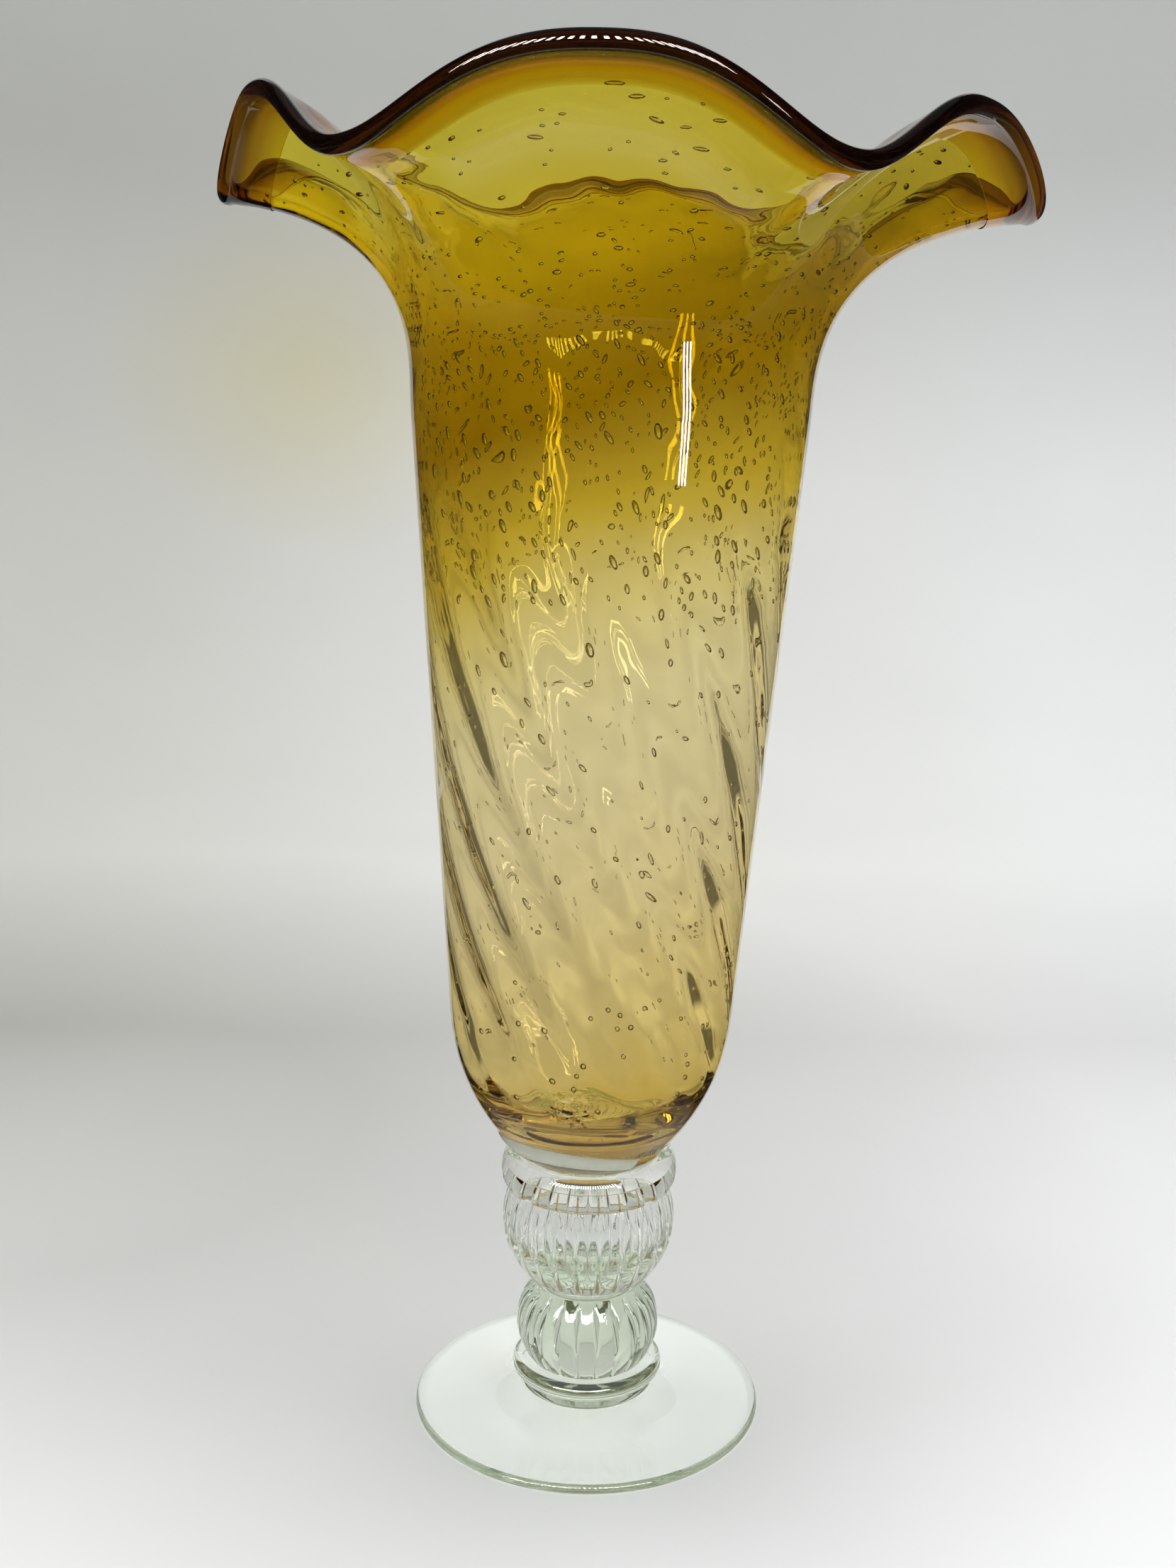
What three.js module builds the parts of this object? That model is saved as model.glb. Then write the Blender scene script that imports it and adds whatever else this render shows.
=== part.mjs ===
// A ruffled vase of blown glass: an amber trumpet bowl on a clear stem of two ribbed balls and a disc foot.
// Millimetres and degrees, +Z up. The origin is the centre of the foot's underside, and -Y is the front.
import * as THREE from 'three';

// Driving dimensions

// The gap that hot-joined pieces keep to each other
const joinGap = 0.3;

// Foot: a disc with a rounded edge and a hub that rises in the middle
const footRadius = 57.4;
const footEdgeThickness = 3.3;
const footHubRadius = 21.5;
const footHubHeight = 11.3;
const footRisePower = 3;

// Foot ring: a disc with a rolled edge on the foot's hub
const footRingRadius = 24.9;
const footRingHeight = 6.2;
const footRingRoll = 3.2;

// Lower knop: a solid ribbed ball, cut off at two latitudes in degrees
const lowerKnopRadius = 23.65;
const lowerKnopHalfHeight = 21;
const lowerKnopLowCut = -34.85;
const lowerKnopHighCut = 44.43;
const lowerKnopRibs = 22;
const lowerKnopRibDepth = 0.7;
const lowerKnopShoulder = 6.7;

// Waist wafer: the small disc between the two balls
const waferRadius = 16.2;
const waferThickness = 1.2;

// Upper knop: a hollow ribbed ball, open at the top, with a narrow band at its foot
const upperKnopRadius = 28.3;
const upperKnopLowCut = -49.75;
const upperKnopHighCut = 36.92;
const upperKnopBandRadius = 15.6;
const upperKnopBandHeight = 2.5;
const upperKnopWall = 3.1;
const upperKnopFloor = 5;
const upperKnopRibs = 24;
const upperKnopRibDepth = 0.7;
const upperKnopRibRise = 12;
const upperKnopRibFade = 6;

// Collar: a turned-out ring around the top of the upper ball
const collarRadius = 28.8;
const collarTopAboveKnop = 6.8;
const collarSkirtBelowKnop = 5;
const collarRollRadius = 3.7;
const collarSkirtLip = 0.8;
const collarBoreRadius = 23.3;
const collarFit = 0.35;

// Bowl pad: the clear glass between the upper ball and the bowl
const padFit = 0.4;
const padShoulderAboveCollar = 0.3;

// Bowl: its lean, its seat on the pad, and its outer profile from the seat to the mean rim
const bowlLean = 1.22;
const bowlOffset = -0.9;
const bowlAboveKnop = 8;
const seatRadius = 24.2;
const seatHeight = 0.2;
const crescentLift = 6.6;
const crescentDirection = -12;
const roundingHeight = 48;
const roundingPower = 2.35;
const bodyRadius = 41.65;
const bodyTaper = 0.0783;
const neckHeight = 233;
const rimRadius = 113.4;
const rimHeight = 303.2;
const rimSlope = 12.5;
const neckHandle = 16.2;
const rimHandle = 58.4;
const bowlWall = 3.4;
const bowlFloor = 11;

// Optic ribs on the bowl's inner face, twisted round the body
const ribCount = 14;
const ribDepth = 1.2;
const ribTwist = 0.9;
const ribTwistFade = 720;
const ribsFrom = 16;
const ribsRiseOver = 20;
const ribsTo = 222;
const ribsFadeOver = 50;

// Ruffle: each row is one crest or dip of the lip, as its direction in degrees from the front,
// its radius beyond the mean rim and its height above the mean rim
const ruffle = [
  [-2.5, 5, 14.5],
  [32, -2.5, -7],
  [56, -1, 11],
  [94, 9.5, -9],
  [113.5, -1.5, 7.5],
  [147.5, 4, -9],
  [178, -3.5, 11.5],
  [200, 3.5, -2],
  [242, 0, 5],
  [271, 1, -11.5],
  [294, -5.5, 12],
  [319.5, -3.5, -6],
];
const dipSharpness = 1.25;
const ruffleGrowth = 2;

// Lip wrap: a band on the bowl's edge that ends in a round bead
const beadRadius = 2.65;
const beadOpening = 125;
const beadNeckShare = 0.45;
const wrapWidth = 8;
const wrapThickness = 3.9;

// Mesh counts
const columnsPerRib = 5;
const roundingRows = 6;
const roundingRowCrowding = 1.3;
const bodyRows = 7;
const flareRows = 8;
const plainSegments = 48;
const columnsPerKnopRib = 4;
const footRiseRows = 6;
const edgeRows = 4;
const rollRows = 6;
const knopRows = 8;
const hollowRows = 4;
const collarRows = 3;

// Materials

function amberGlass() {
  return new THREE.MeshStandardMaterial({ color: 0xc8922a, roughness: 0.05, metalness: 0 });
}

function lipGlass() {
  return new THREE.MeshStandardMaterial({ color: 0x5a2f0c, roughness: 0.05, metalness: 0 });
}

function clearGlass() {
  return new THREE.MeshStandardMaterial({ color: 0xdfe8e2, roughness: 0.05, metalness: 0 });
}

// Small maths helpers

const radians = THREE.MathUtils.degToRad;
const smoothstep = THREE.MathUtils.smoothstep;
const lerp = THREE.MathUtils.lerp;

// A point at a radius and height, in a direction in degrees from the front, anticlockwise from above
function polar(radius, direction, height) {
  const angle = radians(direction);
  return new THREE.Vector3(radius * Math.sin(angle), -radius * Math.cos(angle), height);
}

// Points of an elliptical arc in the plane of radius and height, with angles in degrees from +radius
function arc(centreRadius, centreHeight, radiusReach, heightReach, from, to, steps) {
  const points = [];
  for (let i = 0; i <= steps; i++) {
    const angle = radians(lerp(from, to, i / steps));
    const radius = centreRadius + radiusReach * Math.cos(angle);
    const height = centreHeight + heightReach * Math.sin(angle);
    points.push(new THREE.Vector2(radius, height));
  }
  return points;
}

// Mesh helpers

function namedMesh(name, geometry, material) {
  const mesh = new THREE.Mesh(geometry, material);
  mesh.name = name;
  return mesh;
}

// A turned solid from an outline of radius and height that starts and ends on the axis
function turned(outline, segments) {
  const geometry = new THREE.LatheGeometry(outline, segments);
  geometry.rotateX(Math.PI / 2);
  return geometry;
}

// Presses ribs into a turned solid: grooves between them are as deep as depthAt says for that height
function pressRibs(geometry, count, depthAt) {
  const position = geometry.getAttribute('position');
  const point = new THREE.Vector3();
  for (let i = 0; i < position.count; i++) {
    point.fromBufferAttribute(position, i);
    const radius = Math.hypot(point.x, point.y);
    const angle = Math.atan2(point.x, -point.y);
    const groove = (1 - Math.cos(count * angle)) / 2;
    const shrink = radius > 0 ? 1 - (groove * depthAt(radius, point.z)) / radius : 1;
    position.setXYZ(i, point.x * shrink, point.y * shrink, point.z);
  }
  return geometry;
}

// A closed skin over rings of points. The rings share one count of points and run anticlockwise
// from above. Both ends close on their own centres, unless the last ring meets the first one.
function skin(rings, meetsItself) {
  const columns = rings[0].length;
  const points = rings.flat();
  const faces = [];
  const bands = meetsItself ? rings.length : rings.length - 1;
  for (let row = 0; row < bands; row++) {
    const low = row * columns;
    const high = ((row + 1) % rings.length) * columns;
    for (let column = 0; column < columns; column++) {
      const next = (column + 1) % columns;
      faces.push(low + column, low + next, high + next);
      faces.push(low + column, high + next, high + column);
    }
  }
  if (!meetsItself) {
    closeEnd(points, faces, 0, columns, true);
    closeEnd(points, faces, (rings.length - 1) * columns, columns, false);
  }
  const geometry = new THREE.BufferGeometry().setFromPoints(points);
  geometry.setIndex(faces);
  geometry.computeVertexNormals();
  return geometry;
}

// Closes one end ring of a skin with a fan around the ring's centre
function closeEnd(points, faces, start, columns, facesDown) {
  const centre = new THREE.Vector3();
  for (let column = 0; column < columns; column++) {
    centre.add(points[start + column]);
  }
  centre.divideScalar(columns);
  const centreIndex = points.push(centre) - 1;
  for (let column = 0; column < columns; column++) {
    const here = start + column;
    const next = start + ((column + 1) % columns);
    if (facesDown) {
      faces.push(centreIndex, next, here);
    } else {
      faces.push(here, next, centreIndex);
    }
  }
}

// Heights of the stack, from the floor up

const footRingBase = footHubHeight;
const lowerKnopBase = footRingBase + footRingHeight;
const lowerKnopMiddle = lowerKnopBase - lowerKnopHalfHeight * Math.sin(radians(lowerKnopLowCut));
const waferBase = lowerKnopMiddle + lowerKnopHalfHeight * Math.sin(radians(lowerKnopHighCut));
const upperKnopBase = waferBase + waferThickness;
const upperKnopMiddle = upperKnopBase - upperKnopRadius * Math.sin(radians(upperKnopLowCut));
const upperKnopTop = upperKnopMiddle + upperKnopRadius * Math.sin(radians(upperKnopHighCut));
const collarTop = upperKnopTop + collarTopAboveKnop;
const collarSkirt = upperKnopTop - collarSkirtBelowKnop;
const bowlBase = upperKnopTop + bowlAboveKnop;

// Foot

function footGeometry() {
  const edge = footEdgeThickness / 2;
  const flatRadius = footRadius - edge;
  const outline = [new THREE.Vector2(0, 0)];
  outline.push(...arc(flatRadius, edge, edge, edge, -90, 90, edgeRows));
  for (let i = 1; i <= footRiseRows; i++) {
    const inward = i / footRiseRows;
    const radius = lerp(flatRadius, footHubRadius, inward);
    const height = lerp(footEdgeThickness, footHubHeight, inward ** footRisePower);
    outline.push(new THREE.Vector2(radius, height));
  }
  outline.push(new THREE.Vector2(0, footHubHeight));
  return turned(outline, plainSegments);
}

// Foot ring

function footRingGeometry() {
  const half = footRingHeight / 2;
  const rollCentre = footRingRadius - footRingRoll;
  const roll = arc(rollCentre, footRingBase + half, footRingRoll, half, -90, 90, rollRows);
  const outline = [new THREE.Vector2(0, footRingBase), ...roll];
  outline.push(new THREE.Vector2(0, footRingBase + footRingHeight));
  return turned(outline, plainSegments);
}

// Lower knop

function lowerKnopGeometry() {
  const side = arc(
    0,
    lowerKnopMiddle,
    lowerKnopRadius,
    lowerKnopHalfHeight,
    lowerKnopLowCut,
    lowerKnopHighCut,
    knopRows,
  );
  const outline = [new THREE.Vector2(0, lowerKnopBase), ...side, new THREE.Vector2(0, waferBase)];
  const solid = turned(outline, lowerKnopRibs * columnsPerKnopRib);
  return pressRibs(solid, lowerKnopRibs, (radius, height) => {
    const shoulder = smoothstep(waferBase - height, 0, lowerKnopShoulder);
    return lowerKnopRibDepth * shoulder;
  });
}

// Waist wafer

function waferGeometry() {
  const half = waferThickness / 2;
  const edge = arc(waferRadius - half, waferBase + half, half, half, -90, 90, edgeRows);
  const outline = [new THREE.Vector2(0, waferBase), ...edge];
  outline.push(new THREE.Vector2(0, upperKnopBase));
  return turned(outline, plainSegments / 2);
}

// Upper knop

// The angle on a circle of that radius at which it is this far above its middle
function latitude(aboveMiddle, radius) {
  return THREE.MathUtils.radToDeg(Math.asin(aboveMiddle / radius));
}

function upperKnopGeometry() {
  const innerRadius = upperKnopRadius - upperKnopWall;
  const bandTop = latitude(upperKnopBase + upperKnopBandHeight - upperKnopMiddle, upperKnopRadius);
  const mouth = latitude(upperKnopTop - upperKnopMiddle, innerRadius);
  const hollowDepth = upperKnopMiddle - upperKnopBase - upperKnopFloor;
  const outline = [
    new THREE.Vector2(0, upperKnopBase),
    new THREE.Vector2(upperKnopBandRadius, upperKnopBase),
    ...arc(0, upperKnopMiddle, upperKnopRadius, upperKnopRadius, bandTop, upperKnopHighCut, knopRows),
    ...arc(0, upperKnopMiddle, innerRadius, innerRadius, mouth, 0, hollowRows - 1),
    ...arc(0, upperKnopMiddle, innerRadius, hollowDepth, 0, -90, hollowRows).slice(1),
  ];
  outline[outline.length - 1].x = 0;
  const solid = turned(outline, upperKnopRibs * columnsPerKnopRib);
  const ribTop = collarSkirt + upperKnopRibFade / 2;
  return pressRibs(solid, upperKnopRibs, (radius, height) => {
    const reach = Math.hypot(radius, height - upperKnopMiddle);
    const outside = smoothstep(reach, innerRadius, upperKnopRadius);
    const aboveBase = smoothstep(height, upperKnopBase, upperKnopBase + upperKnopRibRise);
    const belowCollar = 1 - smoothstep(height, ribTop - upperKnopRibFade, ribTop);
    return upperKnopRibDepth * outside * aboveBase * belowCollar;
  });
}

// Collar: the section runs up its outer face and down its bore, where it hugs the ball

function collarGeometry() {
  const hug = upperKnopRadius + collarFit;
  const from = latitude(collarSkirt - upperKnopMiddle, hug);
  const to = latitude(upperKnopTop + collarFit - upperKnopMiddle, hug);
  const hugging = arc(0, upperKnopMiddle, hug, hug, to, from, collarRows);
  const skirtRadius = hugging[collarRows].x + collarSkirtLip;
  const outward = collarRadius - skirtRadius;
  const drop = upperKnopTop - collarSkirt;
  const roll = collarRadius - collarRollRadius;
  const section = [
    ...arc(skirtRadius, upperKnopTop, outward, drop, -90, 0, collarRows),
    ...arc(roll, upperKnopTop, collarRollRadius, collarTopAboveKnop, 0, 90, edgeRows).slice(1),
    new THREE.Vector2(collarBoreRadius, collarTop),
    new THREE.Vector2(collarBoreRadius, upperKnopTop + collarFit),
    ...hugging.slice(1),
  ];
  section.push(section[0].clone());
  return turned(section, plainSegments);
}

// Bowl profile, measured up the bowl's own axis from its base

function bodyOutline(height) {
  const taperLine = bodyRadius + bodyTaper * height;
  const below = Math.max(0, 1 - height / roundingHeight);
  return taperLine - (bodyRadius - seatRadius) * below ** roundingPower;
}

// The height at which the seat meets the profile: a crescent of the clear pad lifts it at the front
function seatEdgeHeight(direction) {
  const facing = (1 + Math.cos(radians(direction - crescentDirection))) / 2;
  return seatHeight + crescentLift * facing ** 2;
}

// The flare is one curve from the neck to the mean rim
function flareCurve() {
  const neckRadius = bodyOutline(neckHeight);
  const slope = radians(rimSlope);
  return new THREE.CubicBezierCurve(
    new THREE.Vector2(neckRadius, neckHeight),
    new THREE.Vector2(neckRadius + bodyTaper * neckHandle, neckHeight + neckHandle),
    new THREE.Vector2(rimRadius - rimHandle * Math.cos(slope), rimHeight - rimHandle * Math.sin(slope)),
    new THREE.Vector2(rimRadius, rimHeight),
  );
}

// The lip's radius and height beyond the mean rim, easing from each crest to the next dip and back
function ruffleAt(direction) {
  const count = ruffle.length;
  const turn = THREE.MathUtils.euclideanModulo(direction - ruffle[0][0], 360) + ruffle[0][0];
  let index = count - 1;
  while (ruffle[index][0] > turn) {
    index -= 1;
  }
  const [fromTurn, fromReach, fromRise] = ruffle[index];
  const [nextTurn, toReach, toRise] = ruffle[(index + 1) % count];
  const toTurn = index === count - 1 ? nextTurn + 360 : nextTurn;
  const part = (turn - fromTurn) / (toTurn - fromTurn);
  const fromCrest = fromRise > toRise;
  const eased = fromCrest ? part ** dipSharpness : 1 - (1 - part) ** dipSharpness;
  const blend = (1 - Math.cos(Math.PI * eased)) / 2;
  return { reach: lerp(fromReach, toReach, blend), rise: lerp(fromRise, toRise, blend) };
}

// The twist of the ribs and of the mesh columns, in degrees at a height
function twistAt(height) {
  const low = Math.min(height, neckHeight);
  return -ribTwist * (low - low ** 2 / ribTwistFade);
}

function ribAt(column, height) {
  const phase = (column / columnsPerRib) * 2 * Math.PI;
  const grow = smoothstep(height, ribsFrom, ribsFrom + ribsRiseOver);
  const fade = 1 - smoothstep(height, ribsTo - ribsFadeOver, ribsTo);
  return (ribDepth * grow * fade * (1 + Math.cos(phase))) / 2;
}

const columnCount = ribCount * columnsPerRib;

function directionOf(column, height) {
  return (360 * column) / columnCount + twistAt(height);
}

// A point on the flare's outer face and the outward direction across its wall, part of the way
// along the flare in a direction from the front
function flareStation(direction, part) {
  const curve = flareCurve();
  const { reach, rise } = ruffleAt(direction);
  const at = (share) => {
    const point = curve.getPoint(share);
    const grown = share ** ruffleGrowth;
    return new THREE.Vector2(point.x + reach * grown, point.y + rise * grown);
  };
  const step = 0.01;
  const tangent = at(Math.min(part + step, 1)).sub(at(Math.max(part - step, 0))).normalize();
  return { point: at(part), out: new THREE.Vector2(tangent.y, -tangent.x) };
}

// Part of the flare curve at which the bowl's own glass ends and the lip wrap takes over
function wrapStart() {
  const length = flareCurve().getLength();
  return 1 - wrapWidth / length;
}

// Bowl

// Rings of the outer and inner faces below the flare, from the seat up
function bodyRings() {
  const outer = [];
  const inner = [];
  for (let row = 0; row < roundingRows + bodyRows; row++) {
    const outerRing = [];
    const innerRing = [];
    for (let column = 0; column < columnCount; column++) {
      const { outerPoint, innerPoint } = bodyPoints(row, column);
      outerRing.push(outerPoint);
      innerRing.push(innerPoint);
    }
    outer.push(outerRing);
    inner.push(innerRing);
  }
  return { outer, inner };
}

function bodyPoints(row, column) {
  const direction = directionOf(column, rowHeight(row, seatHeight));
  const height = rowHeight(row, seatEdgeHeight(direction));
  const outerPoint = polar(bodyOutline(height), direction, height);
  const inner = innerProfile(row);
  const innerPoint = polar(inner.radius - ribAt(column, inner.height), direction, inner.height);
  return { outerPoint, innerPoint };
}

// The height of a row of the body, with the rounding's rows crowded towards the seat's edge
function rowHeight(row, seatEdge) {
  if (row < roundingRows) {
    return lerp(seatEdge, roundingHeight, (row / roundingRows) ** roundingRowCrowding);
  }
  return lerp(roundingHeight, neckHeight, (row - roundingRows) / bodyRows);
}

// The inner face is a bowl-shaped floor that runs into a wall of even thickness
function innerProfile(row) {
  if (row < roundingRows) {
    const turn = radians((90 * (row + 1)) / (roundingRows + 1));
    const radius = (bodyOutline(roundingHeight) - bowlWall) * Math.sin(turn);
    return { radius, height: lerp(roundingHeight, bowlFloor, Math.cos(turn)) };
  }
  const height = rowHeight(row, seatHeight);
  return { radius: bodyOutline(height) - bowlWall, height };
}

// Rings of the flare's outer and inner faces, from the neck to the lip wrap
function flareRings() {
  const outer = [];
  const inner = [];
  for (let row = 0; row <= flareRows; row++) {
    outer.push([]);
    inner.push([]);
  }
  for (let column = 0; column < columnCount; column++) {
    const direction = directionOf(column, neckHeight);
    for (let row = 0; row <= flareRows; row++) {
      const { point, out } = flareStation(direction, (wrapStart() * row) / flareRows);
      outer[row].push(polar(point.x, direction, point.y));
      inner[row].push(polar(point.x - bowlWall * out.x, direction, point.y - bowlWall * out.y));
    }
  }
  return { outer, inner };
}

function bowlGeometry() {
  const body = bodyRings();
  const flare = flareRings();
  const outside = [...body.outer, ...flare.outer];
  const inside = [...body.inner, ...flare.inner].reverse();
  return skin([...outside, ...inside], false);
}

// Lip wrap

// The section runs from the bowl's edge under the lip, round the bead and back over the lip.
// Each point is a share of the way to the bead's centre, and its distances along and across there.
function wrapSection() {
  const half = wrapThickness / 2;
  const bead = arc(0, 0, beadRadius, beadRadius, -beadOpening, beadOpening, rollRows);
  return [
    [0, joinGap, -half],
    [beadNeckShare, 0, -half],
    ...bead.map((point) => [1, point.x, point.y]),
    [beadNeckShare, 0, half],
    [0, joinGap, half],
  ];
}

function lipWrapGeometry() {
  const section = wrapSection();
  const rings = section.map(() => []);
  for (let column = 0; column < columnCount; column++) {
    const direction = directionOf(column, neckHeight);
    section.forEach(([part, along, across], row) => {
      const { point, out } = flareStation(direction, lerp(wrapStart(), 1, part));
      const middle = point.clone().addScaledVector(out, -bowlWall / 2);
      middle.addScaledVector(new THREE.Vector2(-out.y, out.x), along).addScaledVector(out, -across);
      rings[row].push(polar(middle.x, direction, middle.y));
    });
  }
  return skin(rings, true);
}

// Bowl pad: a plug in the collar that widens to the bowl's own outline under the seat

function padGeometry() {
  const plugRadius = collarBoreRadius - padFit;
  const shoulder = collarTop + padShoulderAboveCollar;
  const shoulderRadius = bodyOutline(shoulder - bowlBase);
  const levels = [
    () => [plugRadius, upperKnopTop],
    () => [plugRadius, shoulder],
    () => [shoulderRadius, shoulder],
    (direction) => padTop(direction),
  ];
  const rings = levels.map((level) => {
    const ring = [];
    for (let i = 0; i < plainSegments; i++) {
      const direction = (360 * i) / plainSegments;
      const [radius, height] = level(direction);
      ring.push(polar(radius, direction, height));
    }
    return ring;
  });
  return skin(rings, false);
}

// The pad's top follows the bowl's seat, which leans with the bowl
function padTop(direction) {
  const edge = seatEdgeHeight(direction) - joinGap;
  const radius = bodyOutline(edge);
  const leanDrop = Math.tan(radians(bowlLean)) * (radius * Math.sin(radians(direction)) - bowlOffset);
  return [radius, bowlBase + edge - leanDrop];
}

// Assembly

function leaningBowl() {
  const bowlGroup = new THREE.Group();
  bowlGroup.position.set(bowlOffset, 0, bowlBase);
  bowlGroup.rotation.y = radians(bowlLean);
  bowlGroup.add(namedMesh('bowl', bowlGeometry(), amberGlass()));
  bowlGroup.add(namedMesh('lip_wrap', lipWrapGeometry(), lipGlass()));
  return bowlGroup;
}

const vase = new THREE.Group();
vase.add(namedMesh('foot', footGeometry(), clearGlass()));
vase.add(namedMesh('foot_ring', footRingGeometry(), clearGlass()));
vase.add(namedMesh('lower_knop', lowerKnopGeometry(), clearGlass()));
vase.add(namedMesh('waist_wafer', waferGeometry(), clearGlass()));
vase.add(namedMesh('upper_knop', upperKnopGeometry(), clearGlass()));
vase.add(namedMesh('collar', collarGeometry(), clearGlass()));
vase.add(namedMesh('bowl_pad', padGeometry(), clearGlass()));
vase.add(leaningBowl());

export default vase;
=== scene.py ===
"""A ruffled vase of blown glass: an amber trumpet bowl full of seeds on a clear stem, in a pale studio cove.

The vase is described in millimetres and degrees, as its CAD source is, and -Y is the front. The studio is
described in metres. A direction is an angle from the front, anticlockwise from above.
"""

import math

import bmesh
import bpy
import numpy as np
from mathutils import Matrix, Vector


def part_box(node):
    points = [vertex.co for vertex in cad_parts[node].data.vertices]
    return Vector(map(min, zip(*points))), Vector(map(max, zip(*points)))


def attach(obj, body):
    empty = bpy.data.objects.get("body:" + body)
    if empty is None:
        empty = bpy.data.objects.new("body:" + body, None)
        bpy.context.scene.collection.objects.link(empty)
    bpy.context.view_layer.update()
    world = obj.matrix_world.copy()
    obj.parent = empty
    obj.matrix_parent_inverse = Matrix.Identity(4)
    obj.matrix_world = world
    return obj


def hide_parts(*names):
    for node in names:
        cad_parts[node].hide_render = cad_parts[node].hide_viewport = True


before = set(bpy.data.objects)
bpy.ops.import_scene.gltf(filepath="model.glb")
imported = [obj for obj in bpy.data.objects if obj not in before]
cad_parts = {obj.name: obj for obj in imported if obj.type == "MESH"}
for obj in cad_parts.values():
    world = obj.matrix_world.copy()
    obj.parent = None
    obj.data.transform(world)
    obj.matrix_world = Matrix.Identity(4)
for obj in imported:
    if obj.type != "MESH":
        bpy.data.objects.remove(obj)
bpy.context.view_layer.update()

MM = 0.001
BODY = "root"

# The stack's heights, from the frame
FOOT_RING_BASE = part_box("foot_ring")[0].z / MM
LOWER_KNOP_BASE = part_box("lower_knop")[0].z / MM
WAFER_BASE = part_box("waist_wafer")[0].z / MM
UPPER_KNOP_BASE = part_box("upper_knop")[0].z / MM
UPPER_KNOP_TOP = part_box("upper_knop")[1].z / MM
COLLAR_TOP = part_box("collar")[1].z / MM

# Fused joints: the faces of two pieces that melted together lie this close, and don't refract
JOINT_GAP = 0.02

# Foot
FOOT_RADIUS = 57.4
FOOT_EDGE_THICKNESS = 3.3
FOOT_HUB_RADIUS = 21.5
FOOT_RISE_POWER = 3
FOOT_REST_RADIUS = 50
FOOT_HOLLOW_START = 2
FOOT_HUB_THICKNESS = 4.5

# Foot ring
FOOT_RING_RADIUS = 24.9
FOOT_RING_ROLL = 3.2

# Lower knop
LOWER_KNOP_RADIUS = 23.65
LOWER_KNOP_HALF_HEIGHT = 21
LOWER_KNOP_CUTS = (-34.85, 44.43)
LOWER_KNOP_RIBS = 22
LOWER_KNOP_RIB_DEPTH = 1.6
LOWER_KNOP_SHOULDER = 6.7
LOWER_KNOP_MIDDLE = LOWER_KNOP_BASE - LOWER_KNOP_HALF_HEIGHT * math.sin(math.radians(LOWER_KNOP_CUTS[0]))

# Waist wafer
WAFER_RADIUS = 16.2
WAIST_RADIUS = 15.6

# Upper knop
UPPER_KNOP_RADIUS = 28.3
UPPER_KNOP_CUTS = (-49.75, 36.92)
UPPER_KNOP_BAND_HEIGHT = 2.5
UPPER_KNOP_WALL = 3.1
UPPER_KNOP_INSIDE = UPPER_KNOP_RADIUS - UPPER_KNOP_WALL
UPPER_KNOP_MIDDLE = UPPER_KNOP_BASE - UPPER_KNOP_RADIUS * math.sin(math.radians(UPPER_KNOP_CUTS[0]))
UPPER_KNOP_FLOOR = 5
UPPER_KNOP_RIBS = 24
UPPER_KNOP_RIB_DEPTH = 1.5
UPPER_KNOP_INNER_RIB_DEPTH = 0.6
UPPER_KNOP_RIB_RISE = 4
UPPER_KNOP_RIB_FADE = 6
UPPER_KNOP_RIB_OVERLAP = 0.2

# Narrow grooves between the ribs of both knops, as a share of a rib each side of their middle
GROOVE_HALF_WIDTH = 0.1
GROOVE_SHARPNESS = 0.8

# Collar
COLLAR_RADIUS = 28.8
COLLAR_CREASES = 24
COLLAR_CREASE_SHARE = 0.06
COLUMNS_PER_CREASE = 20
COLLAR_SKIRT = UPPER_KNOP_TOP - 5
COLLAR_ROLL_RADIUS = 3.7
COLLAR_SKIRT_LIP = 0.8
COLLAR_BORE_RADIUS = 23.3
COLLAR_FIT = 0.35

# Bowl pad
PAD_FIT = 0.4
PAD_BULGE = 1.8
PAD_SHOULDER_LIFT = 0.3

# Bowl
BOWL_LEAN = 1.22
BOWL_OFFSET = -0.9
BOWL_BASE = UPPER_KNOP_TOP + 8
SEAT_RADIUS = 24.2
SEAT_HEIGHT = 0.2
CRESCENT_LIFT = 9.5
CRESCENT_DIRECTION = -30
SEAT_DOME_LOW = -0.5
SEAT_DOME_SHARE = 0.6
SEAT_DOME_POWER = 1.5
SEAT_SHARES = (0.6, 0.42, 0.28, 0.18, 0.12, 0.06)
FILM_SHARE = 0.29
FILM_DIRECTIONS = (-95, 38)
ROUNDING_HEIGHT = 48
ROUNDING_POWER = 2.35
BODY_RADIUS = 41.65
BODY_TAPER = 0.0783
NECK_HEIGHT = 233
RIM_RADIUS = 113.4
RIM_HEIGHT = 303.2
RIM_SLOPE = 12.5
NECK_HANDLE = 16.2
RIM_HANDLE = 58.4
BOWL_WALL = 3.4
BOWL_FLOOR = 11
FLOOR_SQUARENESS = 2.6

# Optic ribs of the bowl
RIB_COUNT = 14
RIB_DEPTH = 1.5
RIB_TWIST = 0.9
RIB_TWIST_FADE = 720
RIBS_FROM = 18
RIBS_RISE_OVER = 34
RIBS_TO = 222
RIBS_FADE_OVER = 50

# Ruffle: each crest or dip of the lip, as its direction, and its reach and height beyond the mean rim
RUFFLE = np.array([
    (-2.5, 5, 14.5),
    (32, -2.5, -7),
    (56, -1, 11),
    (94, 9.5, -9),
    (113.5, -1.5, 7.5),
    (147.5, 4, -9),
    (178, -3.5, 11.5),
    (200, 3.5, -2),
    (242, 0, 5),
    (271, 1, -11.5),
    (294, -5.5, 12),
    (319.5, -3.5, -6),
])
DIP_SHARPNESS = 1.25
RUFFLE_GROWTH = 2

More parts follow.
